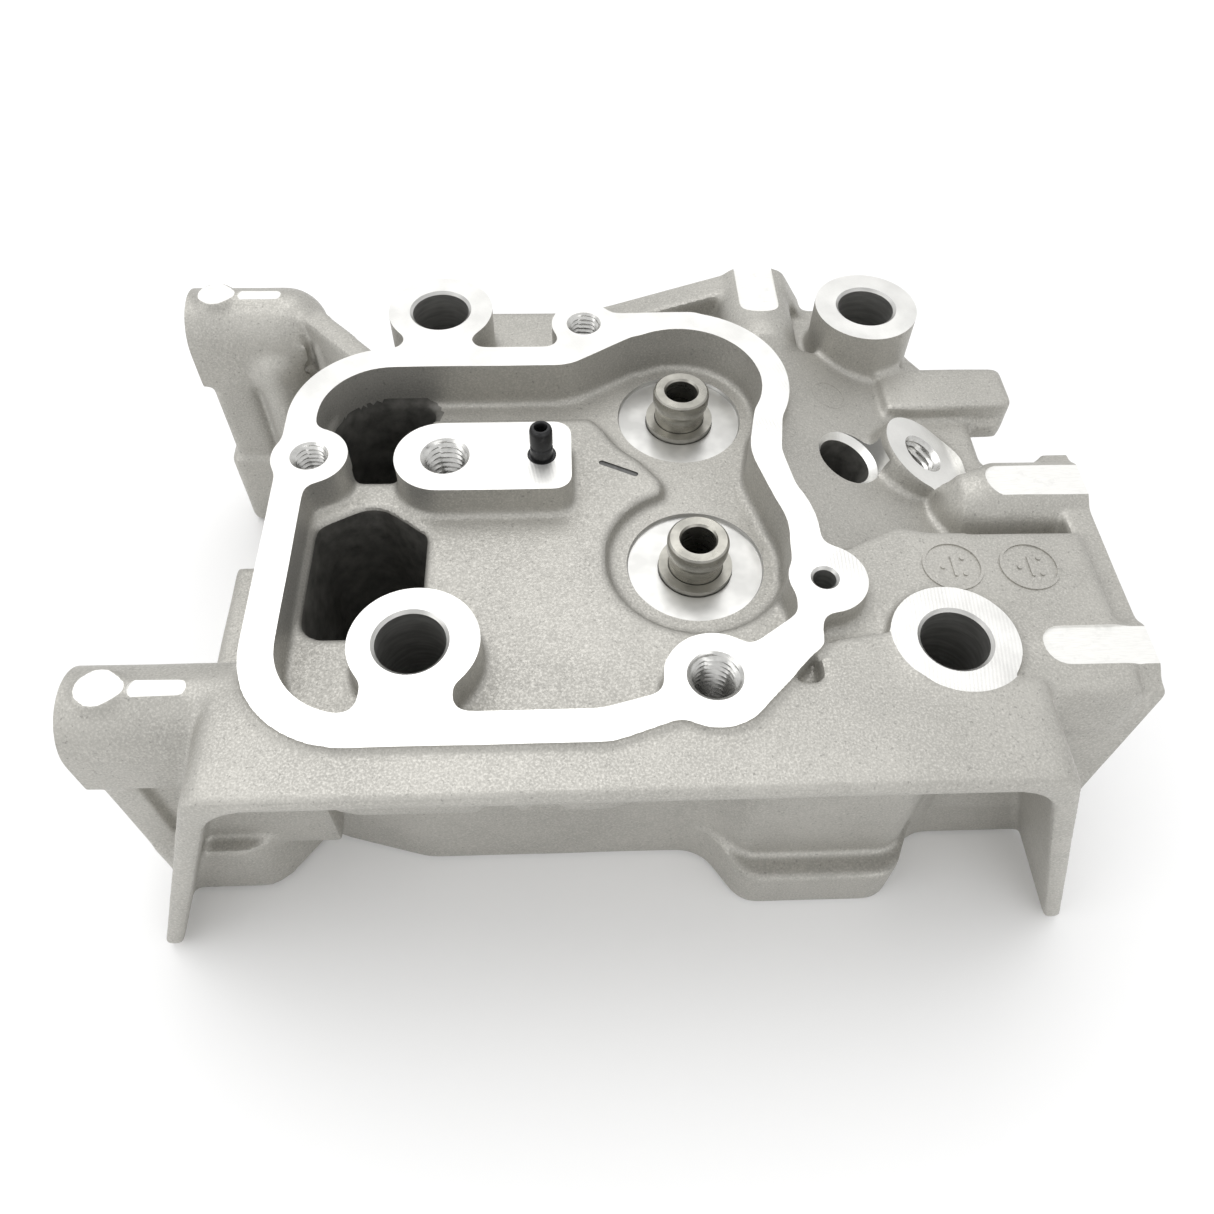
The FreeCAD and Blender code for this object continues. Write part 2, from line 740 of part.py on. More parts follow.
def locating_pin():
    radius = pin_d / 2
    top = pad_top + pin_stand
    bottom = pad_top - pin_set
    seat = pin_seat_d / 2
    return turned(pin_x, 0, (
        (pin_bore_d / 2, bottom), (seat - 0.3, bottom), (seat, bottom + 0.3),
        (seat, pad_top), (radius, pad_top), (radius, top - 0.8), (radius - 0.7, top),
        (pin_bore_d / 2, top)))


os.makedirs("parts", exist_ok=True)
nodes = {
    "head_casting": head_casting(),
    "intake_valve_guide": valve_guide(*valves[0]),
    "exhaust_valve_guide": valve_guide(*valves[1]),
    "intake_guide_collar": guide_collar(*valves[0]),
    "exhaust_guide_collar": guide_collar(*valves[1]),
    "intake_valve_seat": valve_seat(*valves[0], intake_seat_d, intake_throat_d),
    "exhaust_valve_seat": valve_seat(*valves[1], exhaust_seat_d, exhaust_throat_d),
    "rocker_locating_pin": locating_pin(),
}
for name, shape in nodes.items():
    box = shape.BoundBox
    print(name, "solids", len(shape.Solids), "valid", shape.isValid(),
          "volume", round(shape.Volume), "box", round(box.XMin, 1), round(box.XMax, 1),
          round(box.YMin, 1), round(box.YMax, 1), round(box.ZMin, 1), round(box.ZMax, 1))
    shape.exportStep("parts/" + name + ".step")
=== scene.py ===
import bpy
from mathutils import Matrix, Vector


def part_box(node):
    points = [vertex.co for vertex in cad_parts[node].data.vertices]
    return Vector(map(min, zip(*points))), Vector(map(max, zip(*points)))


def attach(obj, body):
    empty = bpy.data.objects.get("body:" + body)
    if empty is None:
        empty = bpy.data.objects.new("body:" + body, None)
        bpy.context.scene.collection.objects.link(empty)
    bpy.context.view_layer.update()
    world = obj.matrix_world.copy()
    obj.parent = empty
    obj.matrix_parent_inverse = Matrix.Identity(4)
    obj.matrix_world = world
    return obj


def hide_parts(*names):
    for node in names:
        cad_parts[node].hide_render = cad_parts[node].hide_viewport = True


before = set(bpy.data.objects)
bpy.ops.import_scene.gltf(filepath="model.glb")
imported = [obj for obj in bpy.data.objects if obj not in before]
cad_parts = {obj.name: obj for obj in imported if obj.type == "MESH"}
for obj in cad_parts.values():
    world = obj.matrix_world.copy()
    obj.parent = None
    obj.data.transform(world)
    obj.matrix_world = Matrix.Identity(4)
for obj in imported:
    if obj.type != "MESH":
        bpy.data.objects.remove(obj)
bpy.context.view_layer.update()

import math

import bmesh
import bpy
import numpy as np
from mathutils import Matrix, Vector

bl_info = {
    "name": "Small engine cylinder head",
    "version": (1, 0, 0),
    "blender": (4, 5, 0),
    "location": "View3D > Sidebar > Head",
    "description": "Builds a cast and machined cylinder head round its packed frame",
    "category": "Add Mesh",
}

# The pieces are worked out in millimetres, in the frame's own axes, and are brought to
# metres when they are finished. The studio is in metres.
TO_METRES = 0.001
CASTING = "head_casting"
BODY = "root"

# The finishes that the casting wears, in the order of its material slots.
# The last finish is painted shade on the walls that lie deep in the casting.
# The second last finish paints the slot mark very dark.
CAST, MILLED, BORED, THREADED, GROUND, DARK_MARK, DEEP_SHADE = range(7)

X, Y, Z = range(3)
UP, DOWN = (0, 0, 1), (0, 0, -1)


def node_box(node):
    """The lowest and highest corner of a CAD node, in millimetres."""
    low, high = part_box(node)
    return Vector(low) / TO_METRES, Vector(high) / TO_METRES


COVER_FACE = 59.0
RIGHT_FACE = node_box(CASTING)[1].x
BACK_FACE = node_box(CASTING)[1].y
LEFT_FACE = -93.8


# ---------------- properties
class CastingSettings(bpy.types.PropertyGroup):
    """Sizes and colours of the casting."""

    grain: bpy.props.FloatProperty(
        name="Stock grain", description="Facet size of the rough casting, in millimetres",
        default=0.62, min=0.3, max=3.0)
    rounding: bpy.props.IntProperty(
        name="Rounding", description="Smoothing passes that round the cast edges",
        default=11, min=0, max=60)
    allowance: bpy.props.FloatProperty(
        name="Machining allowance", description="Stock left on faces that are machined",
        default=3.0, min=0.5, max=8.0)
    triangles: bpy.props.IntProperty(
        name="Triangles", description="Triangles kept in the rough casting",
        default=120000, min=20000, max=180000)
    waviness: bpy.props.FloatProperty(
        name="Waviness", description="Height of the slow waves in the cast skin",
        default=0.05, min=0.0, max=0.5)
    skin: bpy.props.FloatVectorProperty(
        name="Cast skin", description="Colour of the as-cast aluminium", subtype="COLOR",
        default=(0.43, 0.42, 0.39), min=0.0, max=1.0)
    bright: bpy.props.FloatVectorProperty(
        name="Machined face", description="Colour of the machined aluminium",
        subtype="COLOR", default=(0.86, 0.855, 0.83), min=0.0, max=1.0)


class HoleSettings(bpy.types.PropertyGroup):
    """Sizes of the drilled and tapped holes, in millimetres."""

    bolt_d: bpy.props.FloatProperty(
        name="Bolt hole", description="Diameter of the four head bolt holes",
        default=11.0, min=8.0, max=14.0)
    thread_cols: bpy.props.IntProperty(
        name="Thread columns", description="Facets round one turn of a thread",
        default=36, min=12, max=96)
    thread_rows: bpy.props.IntProperty(
        name="Thread rows", description="Rows of facets in one pitch of a thread",
        default=5, min=4, max=12)


class InsertSettings(bpy.types.PropertyGroup):
    """Sizes and colours of the steel inserts."""

    turns: bpy.props.IntProperty(
        name="Facets", description="Facets round a turned insert", default=72, min=24,
        max=180)
    guide: bpy.props.FloatVectorProperty(
        name="Guide steel", description="Colour of the valve guides", subtype="COLOR",
        default=(0.37, 0.36, 0.325), min=0.0, max=1.0)
    seat: bpy.props.FloatVectorProperty(
        name="Seat steel", description="Colour of the valve seats", subtype="COLOR",
        default=(0.42, 0.41, 0.40), min=0.0, max=1.0)
    spring: bpy.props.FloatVectorProperty(
        name="Collar steel", description="Colour of the guide collars", subtype="COLOR",
        default=(0.37, 0.36, 0.325), min=0.0, max=1.0)
    pin: bpy.props.FloatVectorProperty(
        name="Pin", description="Colour of the blackened pin", subtype="COLOR",
        default=(0.035, 0.035, 0.036), min=0.0, max=1.0)


class StudioSettings(bpy.types.PropertyGroup):
    """The floor, the lights and the camera."""

    floor: bpy.props.FloatVectorProperty(
        name="Floor", description="Colour of the floor", subtype="COLOR",
        default=(0.93, 0.93, 0.93), min=0.0, max=1.0)
    ambient: bpy.props.FloatProperty(
        name="Ambient", description="Strength of the light from all round", default=0.9,
        min=0.0, max=5.0)
    key: bpy.props.FloatProperty(
        name="Key light", description="Power of the large light", default=2.2, min=0.0,
        max=500.0, unit="POWER")
    lens: bpy.props.FloatProperty(
        name="Lens", description="Focal length of the camera", default=30.04, min=10.0,
        max=200.0, unit="CAMERA")


# ---------------- mesh helpers
FEWEST_FACES = 100


def framed(direction):
    """Two unit vectors square to a direction, as rows with it."""
    w = Vector(direction).normalized()
    side = Vector((0, 0, 1)) if abs(w.z) < 0.9 else Vector((1, 0, 0))
    u = side.cross(w).normalized()
    v = w.cross(u)
    return np.array(u), np.array(v), np.array(w)


def outward(points, faces):
    """The faces turned so that they enclose a positive volume."""
    total = 0.0
    for face in faces:
        a = points[face[0]]
        for i in range(1, len(face) - 1):
            total += np.dot(a, np.cross(points[face[i]], points[face[i + 1]]))
    return faces if total > 0 else [list(reversed(face)) for face in faces]


def grid_solid(radii, depths, start, direction):
    """A closed solid from rows of radii at depths along a direction.

    The first and last rows are closed by fans to the axis."""
    rows, cols = radii.shape
    u, v, w = framed(direction)
    angles = np.linspace(0, 2 * math.pi, cols, endpoint=False)
    ring = np.cos(angles)[:, None] * u + np.sin(angles)[:, None] * v
    points = (np.array(start) + radii[:, :, None] * ring[None]
              + np.array(depths)[:, None, None] * w).reshape(-1, 3)
    ends = [np.array(start) + w * depths[0], np.array(start) + w * depths[-1]]
    points = np.vstack([points] + ends)
    faces = []
    for k in range(rows - 1):
        for j in range(cols):
            n = (j + 1) % cols
            faces.append([k * cols + j, k * cols + n, (k + 1) * cols + n,
                          (k + 1) * cols + j])
    top = rows * cols
    last = (rows - 1) * cols
    for j in range(cols):
        n = (j + 1) % cols
        faces.append([top, n, j])
        faces.append([top + 1, last + j, last + n])
    return points, outward(points, faces)


def turned(profile, start, direction=(0, 0, 1), cols=64):
    """A solid of revolution from (radius, distance along the direction) pairs."""
    depths = np.array([distance for _, distance in profile], float)
    radii = np.array([radius for radius, _ in profile], float)
    return grid_solid(np.repeat(radii[:, None], cols, 1), depths, start, direction)


def drum(start, direction, length, diameter, cols=64):
    """A solid cylinder."""
    return turned([(diameter / 2, 0), (diameter / 2, length)], start, direction, cols)


def prism(corners, low, high, lift=None):
    """An upright prism over flat corners, or one over corners along a lifted frame."""
    count = len(corners)
    flat = np.array([(x, y, 0.0) for x, y in corners])
    base = flat + (0, 0, low)
    cap = flat + (0, 0, high)
    points = np.vstack([base, cap])
    if lift is not None:
        points = np.array([tuple(lift @ Vector(p)) for p in points])
    faces = [list(range(count)), list(range(2 * count - 1, count - 1, -1))]
    for i in range(count):
        n = (i + 1) % count
        faces.append([i, i + count, n + count, n])
    return points, outward(points, faces)


def slab(low, high):
    """A box between two corners."""
    (x0, y0, z0), (x1, y1, z1) = low, high
    return prism([(x0, y0), (x1, y0), (x1, y1), (x0, y1)], z0, z1)


def capsule(a, b, width):
    """Corners of a flat slot with round ends, from a to b."""
    ax, ay = a
    bx, by = b
    heading = math.atan2(by - ay, bx - ax)
    half = width / 2
    steps = 12
    corners = []
    for (x, y), turn in (((bx, by), heading), ((ax, ay), heading + math.pi)):
        for i in range(steps + 1):
            angle = turn - math.pi / 2 + math.pi * i / steps
            corners.append((x + half * math.cos(angle), y + half * math.sin(angle)))
    return corners


def thread_tool(start, direction, depth, thread, lead, cols, rows):
    """The space that a tapped hole takes: lead, thread, plain bore and drill point."""
    minor, major, pitch = thread
    cover = 2.0
    spare = 2.5 * pitch
    point = minor * 0.3
    step = pitch / rows
    count = int(round(depth / step))
    depths = [-cover, -cover + 0.01]
    depths += [i * step for i in range(count + 1)]
    depths += [depth + spare, depth + spare + point]
    depths = np.array(depths)
    angles = np.linspace(0, 1, cols, endpoint=False)
    phase = (depths[:, None] / pitch - angles[None, :]) % 1.0
    ridge = 1 - np.abs(2 * phase - 1)
    root_flat, crest_flat = 0.15, 0.20
    crest = np.clip(ridge * (1 + root_flat + crest_flat) - root_flat, 0, 1)
    height = (major - minor) / 2
    run_out = np.clip((depth - depths) / pitch, 0, 1)
    radii = minor / 2 + height * crest * run_out[:, None]
    cone = major / 2 + lead - np.maximum(depths, 0)
    radii = np.maximum(radii, cone[:, None])
    radii[depths > depth] = minor / 2
    radii[-1] = minor * 0.05
    radii[0] = radii[1]
    return grid_solid(radii, depths, start, direction)


def mesh_of(name, solids):
    """One mesh in millimetres from (points, faces, finish) solids."""
    points, faces, finishes = [], [], []
    base = 0
    for verts, rings, finish in solids:
        points.append(np.asarray(verts, float))
        faces += [[i + base for i in ring] for ring in rings]
        finishes += [finish] * len(rings)
        base += len(verts)
    mesh = bpy.data.meshes.new(name)
    mesh.from_pydata(np.vstack(points).tolist(), [], faces)
    mesh.polygons.foreach_set("material_index", finishes)
    mesh.update()
    return mesh


def placed(name, data):
    """An object in the scene that shows a mesh, a light or a camera."""
    obj = bpy.data.objects.new(name, data)
    bpy.context.scene.collection.objects.link(obj)
    return obj


def read_rows(items, name):
    """A vector property of every item, as rows of three numbers."""
    values = np.empty(len(items) * 3)
    items.foreach_get(name, values)
    return values.reshape(-1, 3)


def settle(obj):
    """Applies an object's modifiers to its mesh."""
    bpy.context.view_layer.update()
    graph = bpy.context.evaluated_depsgraph_get()
    mesh = bpy.data.meshes.new_from_object(
        obj.evaluated_get(graph), preserve_all_data_layers=True, depsgraph=graph)
    obj.modifiers.clear()
    worn = obj.data
    obj.data = mesh
    bpy.data.meshes.remove(worn)
    return obj


def combined(obj, solids, operation):
    """Adds solids to an object, or takes them away from it."""
    tool = placed("tool", mesh_of("tool", solids))
    for material in obj.data.materials:
        tool.data.materials.append(material)
    change = obj.modifiers.new("machining", "BOOLEAN")
    change.operation = operation
    change.solver = "MANIFOLD"
    change.object = tool
    settle(obj)
    spare = tool.data
    bpy.data.objects.remove(tool)
    bpy.data.meshes.remove(spare)
    if len(obj.data.polygons) < FEWEST_FACES:
        raise RuntimeError("a machining step emptied " + obj.name)


def crisp(mesh, degrees=28.0):
    """Smooth shading with sharp edges wherever two faces meet at more than an angle."""
    mesh.polygons.foreach_set("use_smooth", [True] * len(mesh.polygons))
    mesh.update()
    bm = bmesh.new()
    bm.from_mesh(mesh)
    limit = math.radians(degrees)
    finish_limit = 0.12
    for edge in bm.edges:
        if len(edge.link_faces) != 2:
            edge.smooth = False
            continue
        one, two = edge.link_faces
        same = one.material_index == two.material_index
        bend = edge.calc_face_angle(0.0)
        edge.smooth = bend < limit and (same or bend < finish_limit)
    bm.to_mesh(mesh)
    bm.free()


def finished(obj, *, replaces):
    """Brings a piece to metres and ties it to the frame."""
    obj.data.transform(Matrix.Scale(TO_METRES, 4))
    obj.data.update()
    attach(obj, BODY)
    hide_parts(*replaces)
    return obj


# ---------------- materials
class Recipe:
    """A procedural material on Object coordinates, built node by node."""

    def __init__(self, name, colour, metallic, roughness):
        self.material = bpy.data.materials.new(name)
        self.material.use_nodes = True
        self.nodes = self.material.node_tree.nodes
        self.links = self.material.node_tree.links
        self.shader = self.nodes["Principled BSDF"]
        self.shader.inputs["Base Color"].default_value = (*colour, 1.0)
        self.shader.inputs["Metallic"].default_value = metallic
        self.shader.inputs["Roughness"].default_value = roughness
        self.colour = colour
        self.place = self.nodes.new("ShaderNodeTexCoord").outputs["Object"]

    def wire(self, source, target):
        self.links.new(source, target)

    def mapped(self, scale=(1, 1, 1), location=(0, 0, 0)):
        """Object coordinates, stretched and shifted."""
        node = self.nodes.new("ShaderNodeMapping")
        node.inputs["Scale"].default_value = scale
        node.inputs["Location"].default_value = location
        self.wire(self.place, node.inputs["Vector"])
        return node.outputs["Vector"]

    def noise(self, size, detail=3.0, roughness=0.6, vector=None, distortion=0.0):
        """Noise whose features are about size millimetres across."""
        node = self.nodes.new("ShaderNodeTexNoise")
        node.inputs["Scale"].default_value = 1.0 / (size * TO_METRES)
        node.inputs["Detail"].default_value = detail
        node.inputs["Roughness"].default_value = roughness
        node.inputs["Distortion"].default_value = distortion
        self.wire(vector or self.place, node.inputs["Vector"])
        return node.outputs["Fac"]

    def ranged(self, source, low, high, to_low=0.0, to_high=1.0):
        """A value brought from one range to another."""
        node = self.nodes.new("ShaderNodeMapRange")
        node.inputs["From Min"].default_value = low
        node.inputs["From Max"].default_value = high
        node.inputs["To Min"].default_value = to_low
        node.inputs["To Max"].default_value = to_high
        self.wire(source, node.inputs["Value"])
        return node.outputs["Result"]

    def mixed(self, factor, first, second):
        """Two colours mixed. The node's colour sockets are inputs 6 and 7, output 2."""
        node = self.nodes.new("ShaderNodeMix")
        node.data_type = "RGBA"
        self.wire(factor, node.inputs[0])
        for value, socket in zip((first, second), node.inputs[6:8]):
            if isinstance(value, tuple):
                socket.default_value = (*value[:3], 1.0)
            else:
                self.wire(value, socket)
        return node.outputs[2]

    def shade(self, amount):
        """The recipe's colour, darker or lighter."""
        return tuple(min(1.0, c * amount) for c in self.colour)

    def paint(self, source):
        self.wire(source, self.shader.inputs["Base Color"])

    def polish(self, source):
        self.wire(source, self.shader.inputs["Roughness"])

    def relief(self, source, distance, strength=1.0, normal=None):
        """Bump of a height in millimetres, on top of any normal given."""
        node = self.nodes.new("ShaderNodeBump")
        node.inputs["Distance"].default_value = distance * TO_METRES
        node.inputs["Strength"].default_value = strength
        self.wire(source, node.inputs["Height"])
        if normal is not None:
            self.wire(normal, node.inputs["Normal"])
        return node.outputs["Normal"]

    def dress(self, normal):
        self.wire(normal, self.shader.inputs["Normal"])
        return self.material


def cast_skin(colour):
    """Blasted die-cast aluminium: a fine even grain over slow stains; the bright specks are
    grain and painted sparkle, the dark specks painted shade in pits.
    """
    r = Recipe("cast_aluminium_skin", colour, 0.72, 0.50)
    stain = r.noise(14.0, 5.0, 0.6)
    speck = r.noise(0.36, 2.0, 0.65)
    shade = r.mixed(r.ranged(stain, 0.3, 0.7), r.shade(0.90), r.shade(1.08))
    # Bright specks: real grain, with painted sparkle in their lighter colour.
    grain_and_sparkle = r.mixed(r.ranged(speck, 0.45, 0.75), shade, r.shade(1.28))
    # Dark specks: painted shade in the pits of the skin.
    pit_shade = r.noise(0.6, 2.0, 0.6, distortion=0.3)
    r.paint(r.mixed(r.ranged(pit_shade, 0.38, 0.28), grain_and_sparkle, r.shade(0.74)))
    r.polish(r.ranged(speck, 0.35, 0.70, 0.60, 0.42))
    coarse = r.relief(r.noise(0.62, 3.0, 0.6), 0.09, 0.65)
    return r.dress(r.relief(speck, 0.04, 0.5, coarse))


def painted_shade_wall(colour):
    """Walls deep in the casting, with painted shade: a dark colour, mottled by noise."""
    r = Recipe("painted_shade_aluminium", tuple(c * 0.42 for c in colour), 0.6, 0.48)
    grime = r.noise(3.0, 4.0, 0.6)
    r.paint(r.mixed(r.ranged(grime, 0.3, 0.7), r.shade(0.6), r.shade(1.4)))
    return r.dress(r.relief(r.noise(0.6, 3.0, 0.6), 0.05, 0.5))


def milled_face(colour):
    """A fly-cut face: shallow arcs of tool marks over a nearly white metal."""
    r = Recipe("milled_aluminium", colour, 0.85, 0.36)
    arcs = r.nodes.new("ShaderNodeTexWave")
    arcs.wave_type = "RINGS"
    arcs.rings_direction = "Z"
    arcs.inputs["Scale"].default_value = 520.0
    arcs.inputs["Distortion"].default_value = 0.6
    arcs.inputs["Detail"].default_value = 1.5
    r.wire(r.mapped(location=(0.11, 0.02, 0.0)), arcs.inputs["Vector"])
    blotch = r.noise(9.0, 4.0, 0.6)
    smear = r.noise(0.5, 2.0, 0.5, vector=r.mapped(scale=(1, 6, 1)))
    shade = r.mixed(r.ranged(blotch, 0.35, 0.75), r.shade(0.90), r.shade(1.05))
    r.paint(r.mixed(r.ranged(smear, 0.45, 0.8, 0.0, 0.35), shade, r.shade(0.78)))
    r.polish(r.ranged(blotch, 0.3, 0.7, 0.30, 0.46))
    lines = r.relief(arcs.outputs["Fac"], 0.012, 0.55)
    return r.dress(r.relief(smear, 0.012, 0.4, lines))


def bored_wall(colour):
    """A drilled or bored wall: duller than a milled face, with feed rings."""
    r = Recipe("bored_aluminium", tuple(c * 0.72 for c in colour), 0.9, 0.34)
    rings = r.noise(0.7, 2.0, 0.5, vector=r.mapped(scale=(0.15, 0.15, 1.0)))
    r.paint(r.mixed(r.ranged(rings, 0.35, 0.7), r.shade(0.82), r.shade(1.08)))
    return r.dress(r.relief(rings, 0.02, 0.6))


def threaded_wall(colour):
    """A tapped wall: bright, burnished crests."""
    r = Recipe("tapped_aluminium", tuple(c * 0.80 for c in colour), 0.95, 0.27)
    grime = r.noise(1.8, 3.0, 0.6)
    r.paint(r.mixed(r.ranged(grime, 0.3, 0.7), r.shade(0.78), r.shade(1.06)))
    return r.dress(r.relief(grime, 0.01, 0.4))


def ground_flat(colour):
    """Gate and ejector marks that are ground off: matt white metal."""
    r = Recipe("ground_aluminium", tuple(min(1.0, c * 1.04) for c in colour), 0.55, 0.55)
    streak = r.noise(0.45, 2.0, 0.6, vector=r.mapped(scale=(0.25, 2.5, 1.0)))
    blotch = r.noise(2.2, 3.0, 0.6)
    shade = r.mixed(r.ranged(streak, 0.35, 0.75), r.shade(0.90), r.shade(1.0))
    r.paint(r.mixed(r.ranged(blotch, 0.58, 0.78, 0.0, 0.5), shade, r.shade(0.72)))
    return r.dress(r.relief(streak, 0.02, 0.5))


def dark_mark(colour):
    """The bottom of a stamped or scraped mark, painted very dark."""
    r = Recipe("dark_mark_aluminium", tuple(c * 0.16 for c in colour), 0.4, 0.6)
    grime = r.noise(0.8, 3.0, 0.6)
    r.paint(r.mixed(grime, r.shade(0.6), r.shade(1.5)))
    return r.dress(r.relief(grime, 0.03, 0.6))


def turned_steel(name, colour, roughness=0.30, worn=0.25):
    """Turned steel with fine rings and a little discolouring."""
    r = Recipe(name, colour, 0.95, roughness)
    tint = r.noise(3.5, 4.0, 0.6)
    rings = r.noise(0.4, 1.0, 0.5, vector=r.mapped(scale=(0.1, 0.1, 1.0)))
    r.paint(r.mixed(r.ranged(tint, 0.3, 0.7), r.shade(1.0 - worn), r.shade(1.0 + worn)))
    r.polish(r.ranged(rings, 0.3, 0.7, roughness * 0.8, roughness * 1.25))
    return r.dress(r.relief(rings, 0.008, 0.6))


def blackened(name, colour):
    """Black oxide that has worn on the edges."""
    r = Recipe(name, colour, 0.85, 0.36)
    wear = r.noise(1.2, 4.0, 0.65)
    r.paint(r.mixed(r.ranged(wear, 0.55, 0.8, 0.0, 0.6), r.shade(1.0), r.shade(3.2)))
    r.polish(r.ranged(wear, 0.3, 0.8, 0.30, 0.50))
    return r.dress(r.relief(wear, 0.01, 0.5))


# ---------------- the casting
HALF_X, HALF_Y = 42.5, 39.5
FRONT_RIGHT_TOP = 56.5
BOLTS = ((-HALF_X, HALF_Y, COVER_FACE), (-HALF_X, -HALF_Y, COVER_FACE),
         (HALF_X, HALF_Y, COVER_FACE), (HALF_X, -HALF_Y, FRONT_RIGHT_TOP))

# x, y, seat diameter, throat diameter
VALVE_X, VALVE_Y = 3.8, 18.2
VALVES = ((VALVE_X, VALVE_Y, 33.0, 26.0), (VALVE_X, -VALVE_Y, 30.0, 23.0))
PAD_TOP = 58.5
SPRING_SEAT = 48.6
PIN_AT = (-22.5, 0.0)
VENT_AT = (23.0, -28.8)


def leaning(degrees):
    """The upright direction, leaned to the right by an angle."""
    angle = math.radians(degrees)
    return Vector((math.sin(angle), 0, math.cos(angle)))


# The plug hole in its sloping deck, and the tilted boss beside it.
PLUG_MOUTH = Vector((34.5, 5.5, 51.0))
PLUG_AXIS = leaning(22)
DECK_AXIS = leaning(17.2)
EAR_MOUTH = Vector((49.4, 7.2, 50.0))
EAR_AXIS = leaning(28)

# The horizontal bosses: two on the left, two on the right and one high at the back.
BOSS_R = 8.2
LEFT_BOSS_Y, LEFT_BOSS_Z = 46.2, 49.5
RIGHT_BOSSES_Y, RIGHT_BOSS_Z = (-39.9, -4.0), 47.0
BACK_BOSS_X, BACK_BOSS_Z = 21.9, 49.8

# Core diameter, outside diameter and pitch of a thread.
M6 = (5.0, 6.0, 1.0)
M8 = (6.8, 8.0, 1.25)
THREAD_LEAD = 0.35

# mouth, direction into the metal, depth, thread, boss diameter
TAPPED = (
    ((-14.3, 35.0, COVER_FACE), DOWN, 13.0, M6, 11.0),
    ((-63.0, 0.0, COVER_FACE), DOWN, 13.0, M6, 11.6),
    ((3.5, -46.8, COVER_FACE), DOWN, 15.0, M8, 15.0),
    ((-39.5, 0.0, PAD_TOP), DOWN, 15.0, M8, 15.0),
    (tuple(EAR_MOUTH), tuple(-EAR_AXIS), 11.0, M8, 17.0),
    *(((LEFT_FACE, y, LEFT_BOSS_Z), (1, 0, 0), 13.0, M8, 14.6)
      for y in (LEFT_BOSS_Y, -LEFT_BOSS_Y)),
    *(((RIGHT_FACE, y, RIGHT_BOSS_Z), (-1, 0, 0), 13.0, M8, 14.6)
      for y in RIGHT_BOSSES_Y),
    ((-10.5, BACK_FACE, 37.0), (0, -1, 0), 13.0, M8, 15.0),
    ((BACK_BOSS_X, BACK_FACE, BACK_BOSS_Z), (0, -1, 0), 13.0, M8, 15.0),
)


def cad_stock():
    """A merged copy of the CAD casting, in millimetres."""
    merge_within = 2e-6
    bm = bmesh.new()
    bm.from_mesh(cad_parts[CASTING].data)
    bmesh.ops.remove_doubles(bm, verts=bm.verts, dist=merge_within)
    bmesh.ops.scale(bm, vec=(1 / TO_METRES,) * 3, verts=bm.verts)
    return bm


def raise_faces(bm, axis, sign, level, by, keep=None):
    """Extrudes the flat faces at a level along an axis, as machining allowance."""
    normal = Vector((0, 0, 0))
    normal[axis] = sign
    squareness, off_level = 0.9995, 0.01
    bm.faces.ensure_lookup_table()
    chosen = []
    for face in bm.faces:
        if face.normal.dot(normal) < squareness:
            continue
        middle = face.calc_center_median()
        if abs(middle[axis] - level) > off_level:
            continue
        if keep is None or keep(middle):
            chosen.append(face)
    if not chosen:
        raise RuntimeError(f"no face to raise at {level} on axis {axis}")
    made = bmesh.ops.extrude_face_region(bm, geom=chosen)
    moved = [item for item in made["geom"] if isinstance(item, bmesh.types.BMVert)]
    bmesh.ops.translate(bm, vec=normal * by, verts=moved)
    bmesh.ops.delete(bm, geom=[f for f in chosen if f.is_valid], context="FACES_ONLY")
    bm.normal_update()


def allowed_stock(extra):
    """The CAD casting with stock added to every face that is machined."""
    bm = cad_stock()
    raise_faces(bm, Z, 1, COVER_FACE, extra)
    raise_faces(bm, Z, 1, FRONT_RIGHT_TOP, extra)
    raise_faces(bm, Z, 1, PAD_TOP, extra, lambda p: p.x > -60)
    raise_faces(bm, Z, -1, 0.0, extra, lambda p: -66 < p.x < 69)
    raise_faces(bm, X, 1, RIGHT_FACE, extra)
    raise_faces(bm, Y, 1, BACK_FACE, extra)
    raise_faces(bm, X, -1, LEFT_FACE, extra, lambda p: p.z > 38)
    mesh = bpy.data.meshes.new("stock")
    bm.to_mesh(mesh)
    bm.free()
    return placed(CASTING + "_piece", mesh)


def upright(x, y, low, length, diameter):
    """A cast drum that stands on a height at (x, y)."""
    return (*drum((x, y, low), UP, length, diameter), CAST)


def plug_holes(stock, over):
    """Fills what is drilled and bored later, so that only cast edges get rounded."""
    bolt_boss_d, thread_plug, ear_above = 19.4, 25.0, 2.0
    bolts = [upright(x, y, -over, top + 2 * over, bolt_boss_d) for x, y, top in BOLTS]
    threads = []
    for mouth, way, _, _, boss_d in TAPPED:
        along = Vector(way).normalized()
        above = ear_above if mouth == tuple(EAR_MOUTH) else over
        threads.append((*drum(Vector(mouth) - along * above, along, thread_plug, boss_d),
                        CAST))
    rest = [upright(*VENT_AT, 40.0, 19.0 + over, 11.4)]
    for x, y, seat_d, _ in VALVES:
        rest.append(upright(x, y, 44.0, 5.4, 24.6))
        rest.append(upright(x, y, 9.05, 7.0, seat_d + 1.2))
    deep = 9.0
    rest.append((*drum(PLUG_MOUTH - DECK_AXIS * deep, DECK_AXIS, deep, 17.5), CAST))
    rest.append(upright(*PIN_AT, 47.0, 12.0 + over, 6.6))
    round_guides = [upright(x, y, 40.5, 5.0, 14.0) for x, y, _, _ in VALVES]
    for group in (bolts, threads, rest, round_guides):
        combined(stock, group, "UNION")


